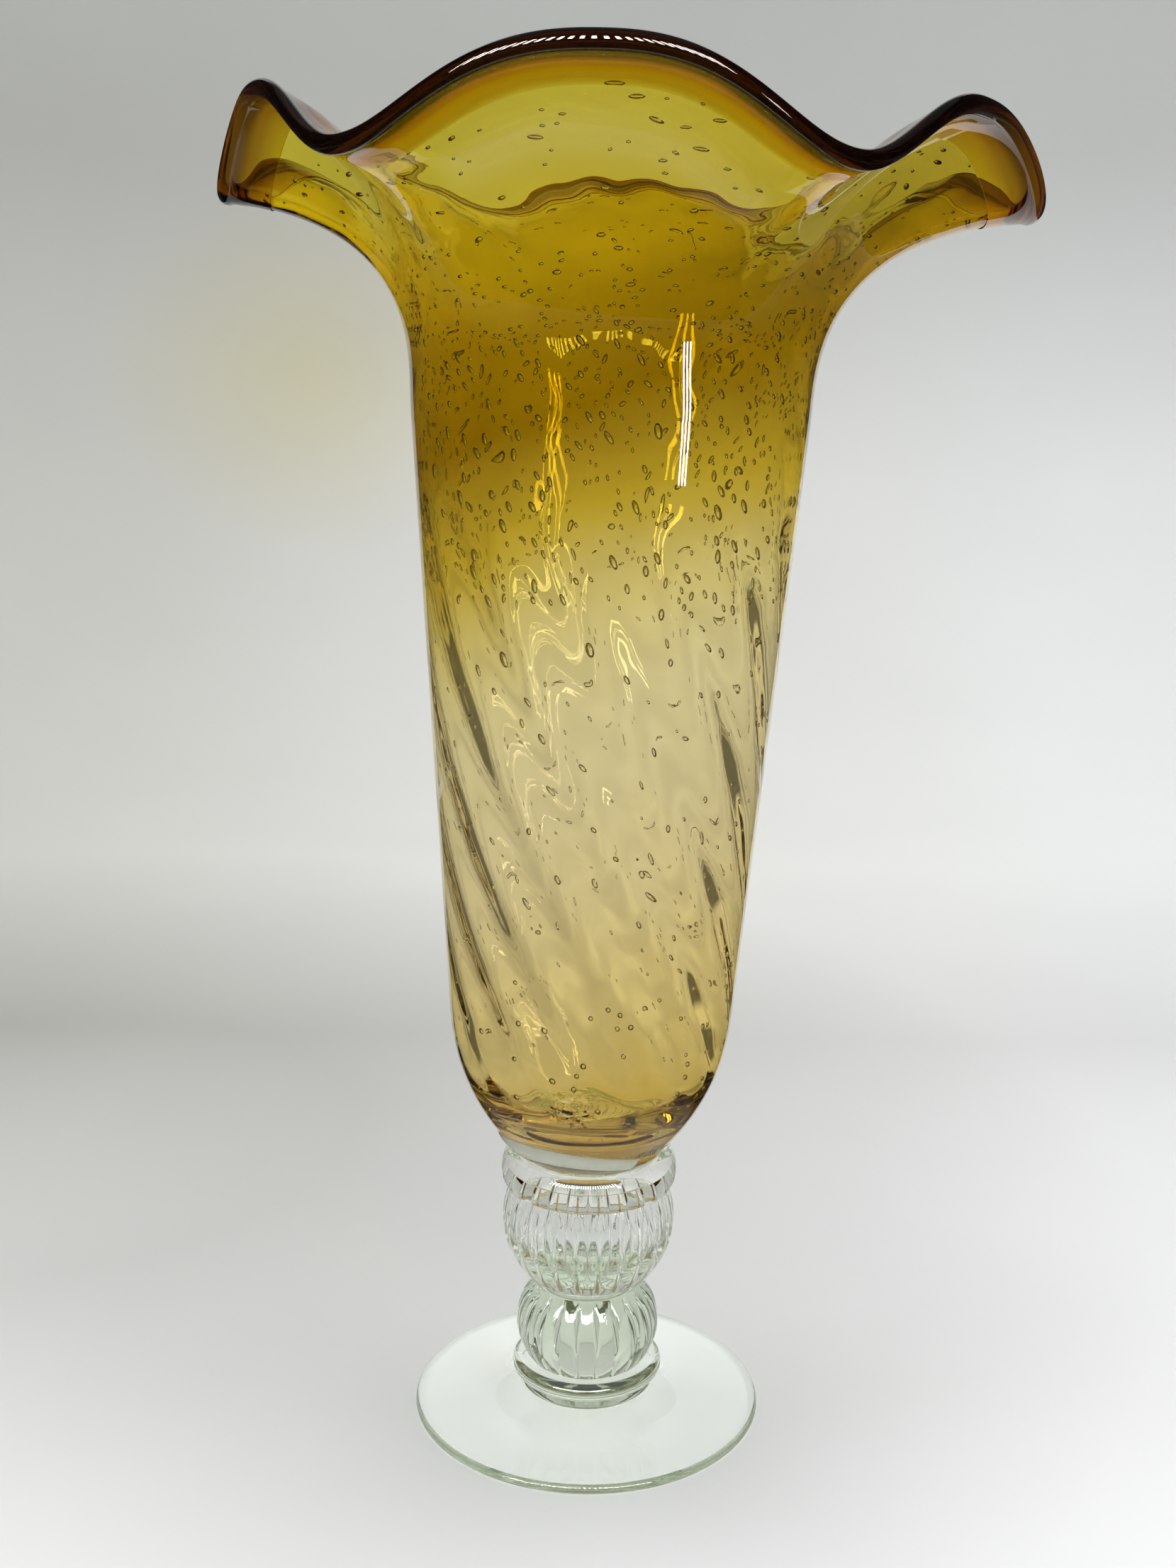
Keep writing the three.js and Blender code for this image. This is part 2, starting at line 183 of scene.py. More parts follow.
# Lip wrap
BEAD_RADIUS = 2.65
BEAD_OPENING = 125
BEAD_NECK_SHARE = 0.45
WRAP_WIDTH = 8
WRAP_THICKNESS = 3.9
# The lip wrap has painted shade at the front, which fades out between these directions from the front
LIP_PAINTED_SHADE_REACH = (52, 80)

# Seeds. Each zone is a count, whether it is in the flare, its ranges of places up the wall, of radii and of
# stretches, and the stretch's direction in degrees, from around the wall to up along it
SEED_ZONES = [
    (60, True, (0.7, 0.93), (0.6, 0.95), (1.8, 3.4), 0),
    (420, True, (0.3, 0.92), (0.42, 0.68), (1.3, 2.2), 10),
    (60, True, (0.3, 0.7), (0.6, 0.85), (1.3, 2.0), 15),
    (520, True, (0.0, 0.45), (0.42, 0.9), (1.4, 2.4), 125),
    (40, False, (165, NECK_HEIGHT), (0.9, 1.25), (1.6, 2.4), 112),
    (620, False, (180, NECK_HEIGHT), (0.45, 1.0), (1.4, 2.6), 110),
    (260, False, (70, 185), (0.4, 0.85), (1.4, 3.2), 118),
    (90, False, (26, 70), (0.7, 0.95), (1.0, 1.3), 125),
]
SEED_SPACING = 1.1
SEED_SIZE_POWER = 1.5
SEED_TILT_SPREAD = 12
SEED_OFFSET = 0.25
SEED_DEPTH_LIMIT = 1.1
FINE_SEED_RADIUS = 0.65
RANDOM_START = 7

# Fineness of the meshes, and the angle in degrees up to which an edge looks smooth
COLUMNS_PER_RIB = 14
COLUMNS = RIB_COUNT * COLUMNS_PER_RIB
ROUNDING_ROWS = 20
ROW_CROWDING = 1.3
BODY_ROWS = 64
FLARE_ROWS = 36
FLARE_STEPS = 400
WRAP_ROWS = 6
BEAD_ROWS = 24
PLAIN_COLUMNS = 192
COLUMNS_PER_KNOP_RIB = 12
ARC_ROWS = 16
KNOP_ROWS = 40
PAD_ROWS = 10
COVE_COLUMNS = 96
FILLET_ROWS = 24
SCREEN_POINTS = 49
FINE_BALL = 2
PLAIN_BALL = 1
SHARP_ANGLE = 50

# Glass. An absorption is a colour and a density for each metre of glass
GLASS_IOR = 1.5
FUSED_IOR = 1.0
WHITE = (1.0, 1.0, 1.0)
CLEAR_TINT = (0.988, 0.994, 0.985)
CLEAR_ABSORPTION = ((0.4, 0.7, 0.0), 3.0)
GREENISH_ABSORPTION = ((0.17, 0.30, 0.0), 11.0)
STREAK_SCALE = 25
WAVE_SCALE = 45
WAVE_HEIGHT = 0.0002
INNER_WAVE_HEIGHT = 0.0012
SEED_AIR_TINT = (0.98, 0.98, 0.97)
SEED_AIR_SCALE = 60
# Matt white of the film between the bowl and its pad, partly a painted reflection of its silvery shine
FILM_WHITE_AND_SHINE_TONES = ((0.80, 0.84, 0.76), (1.0, 1.0, 0.98))
FILM_SCALE = 160
FILM_ROUGHNESS = 0.5

# The amber of one wall: rows of a place from the bowl's foot to its lip and the share of each colour that the
# wall lets through, apart from what its glass takes anyway
AMBER_WALL = [
    (0.0, 0.87, 0.70, 0.24),
    (0.09, 0.96, 0.85, 0.50),
    (0.31, 0.95, 0.88, 0.65),
    (0.48, 0.98, 0.915, 0.66),
    (0.55, 0.97, 0.89, 0.54),
    (0.63, 0.87, 0.73, 0.19),
    (0.74, 0.64, 0.47, 0.02),
    (0.84, 0.74, 0.56, 0.04),
    (0.92, 0.97, 0.77, 0.07),
    (1.0, 0.99, 0.82, 0.08),
]
AMBER_FROM = 0.09
AMBER_TO = 0.41
AMBER_SLANT = 1.1
AMBER_DRIFT = 0.03
AMBER_DRIFT_SCALE = 9
AMBER_ABSORPTION = ((0.70, 0.55, 0.20), 15)

# Marks low in the bowl's wall, in metres. Each fades out between its two radii
SPECK_PLACE = (0.0125, -0.0375, 0.1148)
SPECK_RADII = (0.002, 0.0045)
SPECK_SCALE = 900
SPECK_NOISE = (0.36, 0.5)
SPECK_TINT = (0.01, 0.01, 0.006)
CRACKLE_PLACE = (-0.005, -0.041, 0.1196)
CRACKLE_RADII = (0.005, 0.009)
CRACKLE_SCALE = 220
CRACKLE_EDGE = 0.25
CRACKLE_HEIGHT = 0.22

# The amber of the lip wrap, from the bowl's edge to the lip, at the front and at the back. Both deepen
# towards the bead, and the front one adds painted shade that takes the bead to near black
LIP_PAINTED_SHADE_FRONT = [
    (0.0, 0.88, 0.74, 0.06),
    (0.35, 0.95, 0.68, 0.02),
    (0.7, 0.62, 0.29, 0.01),
    (0.9, 0.015, 0.01, 0.008),
]
LIP_LIGHT = [
    (0.0, 0.88, 0.74, 0.06),
    (0.6, 0.60, 0.41, 0.06),
    (1.0, 0.27, 0.16, 0.04),
]
LIP_DRIFT = 0.06
LIP_DRIFT_SCALE = 30
LIP_ABSORPTION = ((0.87, 0.72, 0.0), 400)

# Most of a noise lies in this range
NOISE_RANGE = (0.3, 0.7)

# Camera, in metres and degrees, with the lens in millimetres
CAMERA_PLACE = (0.0019, -0.5567, 0.3338)
CAMERA_PITCH = 12.31
CAMERA_ROLL = 0.6
CAMERA_YAW = 0.36
CAMERA_LENS = 41.63
CAMERA_SENSOR = 36

# Studio cove, in metres
COVE_FLAT_RADII = (0.1, 0.3, 0.5)
COVE_FLOOR_RADIUS = 0.75
COVE_FILLET = 0.55
COVE_HEIGHT = 1.75
COVE_DROP = 0.0001

# Paper of the cove: its tones, each with the range in metres over which it comes in. The tones are painted
# light
# and shade: darker to the left and upwards, bright near the vase and dim behind the camera
PAPER_ACROSS = (-0.5, 0.5)
PAPER_PAINTED_FALLOFF_TONES = [(0.0, 0.47, 0.47, 0.445), (0.5, 0.575, 0.575, 0.555), (1.0, 0.64, 0.65, 0.65)]
PAPER_UP = (0.25, 0.8)
PAPER_UP_PAINTED_SHADE = (0.41, 0.42, 0.405)
PAPER_NEAR = (0.35, -0.1)
PAPER_NEAR_PAINTED_LIGHT = (0.99, 1.0, 1.0)
PAPER_BEHIND = (-0.35, -0.75)
PAPER_BEHIND_PAINTED_SHADE = (0.2, 0.2, 0.2)
PAPER_SIDE_PAINTED_SHADE = (0.12, 0.12, 0.12)
# Painted light under the foot, for the light that the foot's own faces turn away
UNDER_FOOT_PAINTED_LIGHT = (0.92, 0.945, 0.93)
UNDER_FOOT_FADE = 0.97
PAPER_ROUGHNESS = 0.9
GRAIN_SCALE = 6
GRAIN_TONES = (0.97, 1.0)

# Painted shadows and glow on the paper: the vase's soft shadow on the floor to the left, painted shade on the
# floor to the right, and a warm painted glow of light through the amber on the wall left of the neck. Each
# has its middle, the two radii between which it fades out, and its tone
PAPER_PAINTED_SHADOWS_AND_GLOW = [
    ((-0.26, 0.22, 0), (0.15, 0.5), (0.635, 0.635, 0.625)),
    ((0.26, 0.2, 0), (0.15, 0.5), (0.845, 0.845, 0.855)),
    ((-0.289, 1.256, 0.334), (0.03, 0.2), (1.0, 0.95, 0.74)),
]

# The pale sweep of the paper is this wide at the vase and widens to the back and upwards. Beside it the
# paper has painted shade, which gives the glass its dark streaks
SWEEP_HALF_WIDTH = 0.27
SWEEP_FADED = 0.38
SWEEP_WIDENING = 0.317
SWEEP_OPENING = 1.6

# Dark screen and floor round the vase, in metres and degrees from the front. Their brightness follows the
# share of the way up the screen or outwards on the floor
SCREEN_RADIUS = 0.85
SCREEN_REACH = 150
SCREEN_LOW = 0.005
SCREEN_HIGH = 1.6
SCREEN_FADED = 0.25
SCREEN_GLOW = [(0, 0.12), (0.5, 0.05), (1, 0.02)]
DARK_FLOOR_START = 0.075
DARK_FLOOR_FADED = 0.16
DARK_FLOOR_GLOW = [(0, 0.7), (0.5, 0.25), (1, 0.02)]

# Row of small lamps in front, in metres and degrees from the front, with its left end first. Each lamp is
# lit out to the first share of the pitch and fades to the second
ROW_DISTANCE = 0.8
ROW_DIRECTIONS = (-52, 40)
ROW_HEIGHTS = (0.52, 0.60)
ROW_WIDTH = 0.3
ROW_PITCH = 0.045
ROW_LIT = (0.16, 0.24)
ROW_BRIGHTNESS = 50

# Upright strip lamps at the front right: their direction, lowest and highest points, spacing in degrees,
# width and brightness
STRIP_DISTANCE = 0.5
OUTER_STRIPS = (40, 0.214, 0.31, 1.8, 0.008, 30)
INNER_STRIPS = (40, 0.18, 0.42, 4.6, 0.014, 150)

# Small lamp high at the front right: its place, what it faces, its width, height and brightness
GLINT_LAMP = ((0.3, -0.85, 1.1), (0, 0, 0.08), 0.3, 0.06, 30)

# Softboxes: a name, a place, what it faces, a width, a height and watts
SOFTBOXES = [
    ("softbox_top", (0, 0.3, 1.7), (0, 0.1, 0), 2.0, 1.6, 43),
    ("softbox_right", (0.95, -0.35, 1.0), (0, 0.1, 0.1), 0.6, 0.8, 0.8),
]
WORLD_COLOUR = (0.9, 0.95, 1.0)
WORLD_BRIGHTNESS = 0.12


# Small maths helpers


def smoothstep(value, low, high):
    share = np.clip((value - low) / (high - low), 0, 1)
    return share * share * (3 - 2 * share)


def lerp(start, end, share):
    return start + (end - start) * share


def polar(radius, direction, height):
    """Points at a radius and height, in a direction in degrees from the front."""
    angle = np.radians(direction)
    return np.stack(np.broadcast_arrays(radius * np.sin(angle), -radius * np.cos(angle), height), axis=-1)


def arc(centre_radius, centre_height, radius_reach, height_reach, start, end, steps):
    """Points (radius, height) of an elliptical arc, with angles in degrees from +radius."""
    angle = np.radians(np.linspace(start, end, steps + 1))
    radius = centre_radius + radius_reach * np.cos(angle)
    height = centre_height + height_reach * np.sin(angle)
    return list(zip(radius, height))


def latitude(above_middle, radius):
    """The angle in degrees at which a circle of that radius is this far above its middle."""
    return math.degrees(math.asin(above_middle / radius))


# Mesh helpers


def ring_faces(rows, columns, meets_itself):
    """Quads between rings of points that run anticlockwise from above and upwards on the outside."""
    bands = rows if meets_itself else rows - 1
    low = np.arange(bands)[:, None] * columns
    high = (low + columns) % (rows * columns)
    column = np.arange(columns)[None, :]
    following = (column + 1) % columns
    corners = [low + column, low + following, high + following, high + column]
    return np.stack(corners, axis=-1).reshape(-1, 4).tolist()


def skin(rings, fused_band=None, fused_ends=(False, False), meets_itself=False):
    """A closed skin over rings of points: points, faces and a mark per face, 1 where it is fused to another
    piece. A band is the faces from one ring to the next."""
    rings = np.asarray(rings, float)
    rows, columns = rings.shape[:2]
    points = rings.reshape(-1, 3)
    faces = ring_faces(rows, columns, meets_itself)
    fused = np.zeros(len(faces))
    if fused_band is not None:
        fused[fused_band * columns : (fused_band + 1) * columns] = 1
    if meets_itself:
        return points, faces, fused
    last = (rows - 1) * columns
    centres = np.array([rings[0].mean(axis=0), rings[-1].mean(axis=0)])
    low_centre = len(points)
    high_centre = low_centre + 1
    following = [*range(1, columns), 0]
    faces += [[low_centre, after, column] for column, after in enumerate(following)]
    faces += [[last + column, last + after, high_centre] for column, after in enumerate(following)]
    ends = np.repeat(np.array(fused_ends, float), columns)
    return np.vstack([points, centres]), faces, np.concatenate([fused, ends])


def new_mesh(name, points, faces, materials):
    mesh = bpy.data.meshes.new(name)
    mesh.from_pydata(points.tolist(), [], faces)
    for material in materials:
        mesh.materials.append(material)
    mesh.polygons.foreach_set("use_smooth", np.ones(len(faces), bool))
    return mesh


def new_object(name, data):
    """An object in the scene, from its mesh, light or camera."""
    holder = bpy.data.objects.new(name, data)
    bpy.context.scene.collection.objects.link(holder)
    return holder


def mark_mesh(piece, name, values, domain="FACE"):
    """A number on each face or point, which its material reads by name."""
    mark = piece.data.attributes.new(name, "FLOAT", domain)
    mark.data.foreach_set("value", np.asarray(values, np.float32))


def make_piece(name, points, faces, fused, materials, indices=None, slot="clear_glass"):
    """A smooth mesh object from points in millimetres, which stands for the CAD node of the same name."""
    mesh = new_mesh(name, points * MM, faces, materials)
    if indices is not None:
        mesh.polygons.foreach_set("material_index", np.asarray(indices, np.int32))
    mesh.set_sharp_from_angle(angle=math.radians(SHARP_ANGLE))
    mesh.update()
    piece = new_object(name + "_glass", mesh)
    mark_mesh(piece, "fused", fused)
    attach(piece, BODY)
    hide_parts(name)
    return piece


def turned(outline, columns, shape=None):
    """Rings around the axis from an outline of (radius, height), pressed by shape if it is given."""
    outline = np.asarray(outline, float)
    direction = np.arange(columns) * 360 / columns
    radius = np.repeat(outline[:, :1], columns, axis=1)
    height = np.repeat(outline[:, 1:2], columns, axis=1)
    if shape is not None:
        radius = radius - shape(radius, height, direction[None, :])
    return polar(radius, direction[None, :], height)


def make_turned(name, outline, fused_ends, materials, columns=PLAIN_COLUMNS, shape=None):
    """A piece of clear glass turned from an outline."""
    rings = turned(outline, columns, shape)
    return make_piece(name, *skin(rings, fused_ends=fused_ends), materials)


def rib_grooves(direction, count):
    """0 on the crest of each rib and 1 in the narrow groove between two."""
    from_groove = np.abs(np.mod(direction * count / 360, 1) - 0.5)
    narrow = np.clip(1 - from_groove / GROOVE_HALF_WIDTH, 0, 1)
    wide = (1 - np.cos(np.radians(count * direction))) / 2
    return lerp(wide, narrow, GROOVE_SHARPNESS)


# Foot and stem


def make_foot(materials):
    edge = FOOT_EDGE_THICKNESS / 2
    flat_radius = FOOT_RADIUS - edge
    inward = np.linspace(0, 1, KNOP_ROWS)[1:]
    rise_radius = lerp(flat_radius, FOOT_HUB_RADIUS, inward)
    rise_height = lerp(FOOT_EDGE_THICKNESS, FOOT_RING_BASE, inward**FOOT_RISE_POWER)
    hollow_radius = np.linspace(FOOT_HOLLOW_START, FOOT_REST_RADIUS, KNOP_ROWS)
    hollow_share = np.clip((FOOT_REST_RADIUS - hollow_radius) / (FOOT_REST_RADIUS - FOOT_HUB_RADIUS), 0, 1)
    hollow_rise = (FOOT_RING_BASE - FOOT_HUB_THICKNESS) * hollow_share**FOOT_RISE_POWER
    outline = list(zip(hollow_radius, hollow_rise))
    outline += arc(flat_radius, edge, edge, edge, -90, 90, ARC_ROWS)
    outline += list(zip(rise_radius, rise_height))
    return make_turned("foot", outline, (False, True), materials)


def make_foot_ring(materials):
    base = FOOT_RING_BASE + JOINT_GAP
    half = (LOWER_KNOP_BASE - base) / 2
    roll_centre = FOOT_RING_RADIUS - FOOT_RING_ROLL
    outline = arc(roll_centre, base + half, FOOT_RING_ROLL, half, -90, 90, ARC_ROWS)
    knop_radius = LOWER_KNOP_RADIUS * math.cos(math.radians(LOWER_KNOP_CUTS[0]))
    outline.append((knop_radius, LOWER_KNOP_BASE))
    return make_turned("foot_ring", outline, (True, True), materials)


def make_lower_knop(materials):
    middle = LOWER_KNOP_MIDDLE + JOINT_GAP
    outline = arc(0, middle, LOWER_KNOP_RADIUS, LOWER_KNOP_HALF_HEIGHT, *LOWER_KNOP_CUTS, KNOP_ROWS)
    outline.append((WAIST_RADIUS, WAFER_BASE))

    def ribs(radius, height, direction):
        shoulder = smoothstep(WAFER_BASE - height, 0, LOWER_KNOP_SHOULDER)
        return LOWER_KNOP_RIB_DEPTH * shoulder * rib_grooves(direction, LOWER_KNOP_RIBS)

    columns = LOWER_KNOP_RIBS * COLUMNS_PER_KNOP_RIB
    return make_turned("lower_knop", outline, (True, True), materials, columns, ribs)


def make_wafer(materials):
    base = WAFER_BASE + JOINT_GAP
    half = (UPPER_KNOP_BASE - base) / 2
    edge = arc(WAFER_RADIUS - half, base + half, half, half, -90, 90, ARC_ROWS)
    outline = [(WAIST_RADIUS, base), *edge, (WAIST_RADIUS, UPPER_KNOP_BASE)]
    return make_turned("waist_wafer", outline, (True, True), materials)


def make_upper_knop(materials):
    middle = UPPER_KNOP_MIDDLE
    inner_radius = UPPER_KNOP_INSIDE
    base = UPPER_KNOP_BASE + JOINT_GAP
    band_top = latitude(base + UPPER_KNOP_BAND_HEIGHT - middle, UPPER_KNOP_RADIUS)
    mouth = latitude(UPPER_KNOP_TOP - middle, inner_radius)
    hollow_depth = middle - base - UPPER_KNOP_FLOOR
    outside = arc(0, middle, UPPER_KNOP_RADIUS, UPPER_KNOP_RADIUS, band_top, UPPER_KNOP_CUTS[1], KNOP_ROWS)
    inside = arc(0, middle, inner_radius, inner_radius, mouth, 0, ARC_ROWS)
    hollow = arc(0, middle, inner_radius, hollow_depth, 0, -90, KNOP_ROWS)[1:-1]
    outline = [(WAIST_RADIUS, base), *outside, *inside, *hollow]
    rib_top = COLLAR_SKIRT + UPPER_KNOP_RIB_OVERLAP

    def ribs(radius, height, direction):
        reach = np.hypot(radius, height - middle)
        on_outside = smoothstep(reach, inner_radius, UPPER_KNOP_RADIUS)
        above_base = smoothstep(height, UPPER_KNOP_BASE, UPPER_KNOP_BASE + UPPER_KNOP_RIB_RISE)
        below_collar = 1 - smoothstep(height, rib_top - UPPER_KNOP_RIB_FADE, rib_top)
        outer = UPPER_KNOP_RIB_DEPTH * on_outside * above_base * below_collar
        inner = UPPER_KNOP_INNER_RIB_DEPTH * (1 - on_outside) * above_base
        between = rib_grooves(direction + 180 / UPPER_KNOP_RIBS, UPPER_KNOP_RIBS)
        return outer * rib_grooves(direction, UPPER_KNOP_RIBS) - inner * between

    columns = UPPER_KNOP_RIBS * COLUMNS_PER_KNOP_RIB
    rings = turned(outline, columns, ribs)
    points, faces, fused = skin(rings, len(outside), (True, False))
    for band, (_, height) in enumerate(outside[:-1], start=1):
        if height > COLLAR_SKIRT:
            fused[band * columns : (band + 1) * columns] = 1 - in_crease(columns)
    return make_piece("upper_knop", points, faces, fused, materials)


def in_crease(columns):
    """1 for the columns of faces by a crease, where the collar didn't fuse with the knop."""
    direction = (np.arange(columns) + 0.5) * 360 / columns
    from_crease = np.abs(np.mod(direction * COLLAR_CREASES / 360, 1) - 0.5)
    return (from_crease < COLLAR_CREASE_SHARE / 2).astype(float)


def make_collar(materials):
    top = UPPER_KNOP_TOP
    hug = UPPER_KNOP_RADIUS + JOINT_GAP
    low = latitude(COLLAR_SKIRT - UPPER_KNOP_MIDDLE, hug)
    high = latitude(top + COLLAR_FIT - UPPER_KNOP_MIDDLE, hug)
    hugging = arc(0, UPPER_KNOP_MIDDLE, hug, hug, high, low, ARC_ROWS)
    skirt_radius = hugging[-1][0] + COLLAR_SKIRT_LIP
    outward = COLLAR_RADIUS - skirt_radius
    roll = COLLAR_RADIUS - COLLAR_ROLL_RADIUS
    outline = [
        *arc(skirt_radius, top, outward, top - COLLAR_SKIRT, -90, 0, ARC_ROWS),
        *arc(roll, top, COLLAR_ROLL_RADIUS, COLLAR_TOP - top, 0, 90, ARC_ROWS)[1:],
        (COLLAR_BORE_RADIUS, COLLAR_TOP),
        (COLLAR_BORE_RADIUS, top + COLLAR_FIT),
        *hugging[1:],
    ]

    columns = COLLAR_CREASES * COLUMNS_PER_CREASE
    first_band = len(outline) - len(hugging)
    points, faces, fused = skin(turned(outline, columns), meets_itself=True)
    bands = fused.reshape(len(outline), columns)
    bands[first_band + 1 : -1] = 1 - in_crease(columns)
    return make_piece("collar", points, faces, bands.ravel(), materials)


# Bowl profile, measured up the bowl's own axis from its base


def body_outline(height):
    below = np.maximum(0, 1 - height / ROUNDING_HEIGHT)
    return BODY_RADIUS + BODY_TAPER * height - (BODY_RADIUS - SEAT_RADIUS) * below**ROUNDING_POWER


def seat_edge_height(direction):
    """The height at which the seat meets the profile: a crescent of the clear pad lifts it at the front."""
    facing = (1 + np.cos(np.radians(direction - CRESCENT_DIRECTION))) / 2
    return SEAT_HEIGHT + CRESCENT_LIFT * facing**2


def bowl_directions(height, columns=COLUMNS):
    """The direction of each column of the bowl at a height."""
    return 360 * np.arange(columns) / columns + twist_at(height)


def seat_rings(direction):
    """Rings of the bowl's rounded bottom, from the middle out to just short of the seat's edge."""
    edge = seat_edge_height(direction)
    rings = []
    for share in SEAT_SHARES:
        drop = math.sin(math.pi / 2 * share / SEAT_DOME_SHARE) ** SEAT_DOME_POWER
        height = edge - (edge - SEAT_DOME_LOW) * drop
        rings.append((body_outline(edge) * (1 - share), height))
    return rings


def film_marks(direction):
    """For each band from the middle of the seat outwards, 0 where a film of air lies between the bowl and
    its pad and 1 where they are fused."""
    turn = np.mod(direction + 180, 360) - 180
    has_film = (turn > FILM_DIRECTIONS[0]) & (turn < FILM_DIRECTIONS[1])
    return np.array([1 - has_film * (share <= FILM_SHARE) for share in SEAT_SHARES])


def flare_curve(share):
    """The radius and height of the mean flare, from the neck at share 0 to the rim at share 1."""
    neck_radius = body_outline(NECK_HEIGHT)
    slope = math.radians(RIM_SLOPE)
    corners = np.array([
        [neck_radius, NECK_HEIGHT],
        [neck_radius + BODY_TAPER * NECK_HANDLE, NECK_HEIGHT + NECK_HANDLE],
        [RIM_RADIUS - RIM_HANDLE * math.cos(slope), RIM_HEIGHT - RIM_HANDLE * math.sin(slope)],
        [RIM_RADIUS, RIM_HEIGHT],
    ])
    rest = 1 - share
    weights = np.stack([rest**3, 3 * rest**2 * share, 3 * rest * share**2, share**3], axis=-1)
    point = weights @ corners
    return point[..., 0], point[..., 1]


def wrap_start():
    """Share of the flare at which the bowl's own glass ends and the lip wrap takes over."""
    radius, height = flare_curve(np.linspace(0, 1, FLARE_STEPS))
    flare_length = np.hypot(np.diff(radius), np.diff(height)).sum()
    return 1 - WRAP_WIDTH / float(flare_length)


def ruffle_at(direction):
    """The lip's reach and height beyond the mean rim, easing from each crest to the next dip and back."""
    start = RUFFLE[0, 0]
    turn = np.mod(direction - start, 360) + start
    index = np.searchsorted(RUFFLE[:, 0], turn, side="right") - 1
    following = (index + 1) % len(RUFFLE)
    from_turn = RUFFLE[index, 0]
    to_turn = np.where(following == 0, RUFFLE[following, 0] + 360, RUFFLE[following, 0])
    part = (turn - from_turn) / (to_turn - from_turn)
    from_crest = RUFFLE[index, 2] > RUFFLE[following, 2]
    eased = np.where(from_crest, part**DIP_SHARPNESS, 1 - (1 - part) ** DIP_SHARPNESS)
    blend = (1 - np.cos(math.pi * eased)) / 2
    reach = lerp(RUFFLE[index, 1], RUFFLE[following, 1], blend)
    rise = lerp(RUFFLE[index, 2], RUFFLE[following, 2], blend)
    return reach, rise


def flare_station(direction, share):
    """A point on the flare's outer face and the way out across its wall, each as radius and height."""
    direction, share = np.broadcast_arrays(np.asarray(direction, float), np.asarray(share, float))
    reach, rise = ruffle_at(direction)

    def at(part):
        radius, height = flare_curve(part)
        grown = part**RUFFLE_GROWTH
        return radius + reach * grown, height + rise * grown

    step = 0.01
    radius_ahead, height_ahead = at(np.minimum(share + step, 1))
    radius_behind, height_behind = at(np.maximum(share - step, 0))
    tangent_radius = radius_ahead - radius_behind
    tangent_height = height_ahead - height_behind
    length = np.hypot(tangent_radius, tangent_height)
    point_radius, point_height = at(share)
    return point_radius, point_height, tangent_height / length, -tangent_radius / length


def flare_points(direction, share, inward=0, along=0):
    """Points this far in from the flare's outer face, and this far along it."""
    radius, height, out_radius, out_height = flare_station(direction, share)
    point_radius = radius - inward * out_radius - along * out_height
    point_height = height - inward * out_height + along * out_radius
    return polar(point_radius, direction, point_height)


def twist_at(height):
    low = np.minimum(height, NECK_HEIGHT)
    return -RIB_TWIST * (low - low**2 / RIB_TWIST_FADE)


def rib_at(column, height):
    phase = column / COLUMNS_PER_RIB * 2 * math.pi
    grow = smoothstep(height, RIBS_FROM, RIBS_FROM + RIBS_RISE_OVER)
    fade = 1 - smoothstep(height, RIBS_TO - RIBS_FADE_OVER, RIBS_TO)
    return RIB_DEPTH * grow * fade * (1 + np.cos(phase)) / 2


def leaning(points):
    """Points from the bowl's own frame to the vase's."""
    lean = math.radians(BOWL_LEAN)
    x, y, z = points[..., 0], points[..., 1], points[..., 2]
    leaned_x = x * math.cos(lean) + z * math.sin(lean) + BOWL_OFFSET
    leaned_z = -x * math.sin(lean) + z * math.cos(lean) + BOWL_BASE
    return np.stack([leaned_x, y, leaned_z], axis=-1)


# Bowl


def row_height(row, seat_edge):
    """The height of a row of the body, with the rounding's rows crowded towards the seat's edge."""
    crowded = np.clip(row / ROUNDING_ROWS, 0, 1) ** ROW_CROWDING
    rounding = lerp(seat_edge, ROUNDING_HEIGHT, crowded)
    straight = lerp(ROUNDING_HEIGHT, NECK_HEIGHT, (row - ROUNDING_ROWS) / BODY_ROWS)
    return np.where(row < ROUNDING_ROWS, rounding, straight)


def body_rings():
    """Rings of the outer and inner faces below the flare, from the seat up."""
    row = np.arange(ROUNDING_ROWS + BODY_ROWS)[:, None].astype(float)
    straight = row_height(row, SEAT_HEIGHT)
    direction = bowl_directions(straight)
    height = row_height(row, seat_edge_height(direction))
    outer = polar(body_outline(height), direction, height)
    turn = np.radians(90 * np.clip((row + 1) / (ROUNDING_ROWS + 1), 0, 1))
    in_rounding = row < ROUNDING_ROWS
    floor_radius = (body_outline(ROUNDING_HEIGHT) - BOWL_WALL) * np.sin(turn) ** (2 / FLOOR_SQUARENESS)
    floor_height = lerp(ROUNDING_HEIGHT, BOWL_FLOOR, np.cos(turn) ** (2 / FLOOR_SQUARENESS))
    inner_radius = np.where(in_rounding, floor_radius, body_outline(straight) - BOWL_WALL)
    inner_height = np.where(in_rounding, floor_height, straight)
    ribs = rib_at(np.arange(COLUMNS), inner_height)
    inner = polar(inner_radius - ribs, direction, inner_height)
    return outer, inner


def flare_rings():
    """Rings of the outer and inner faces of the flare, from the neck to the lip wrap."""
    share = wrap_start() * np.arange(FLARE_ROWS + 1)[:, None] / FLARE_ROWS
    direction = bowl_directions(NECK_HEIGHT)
    return flare_points(direction, share), flare_points(direction, share, BOWL_WALL)


def icosphere(subdivisions):
    """Points and triangles of a unit ball."""
    ball = bmesh.new()
    bmesh.ops.create_icosphere(ball, subdivisions=subdivisions, radius=1)
    points = np.array([vertex.co for vertex in ball.verts])
    faces = np.array([[vertex.index for vertex in face.verts] for face in ball.faces])
    ball.free()
    return points, faces


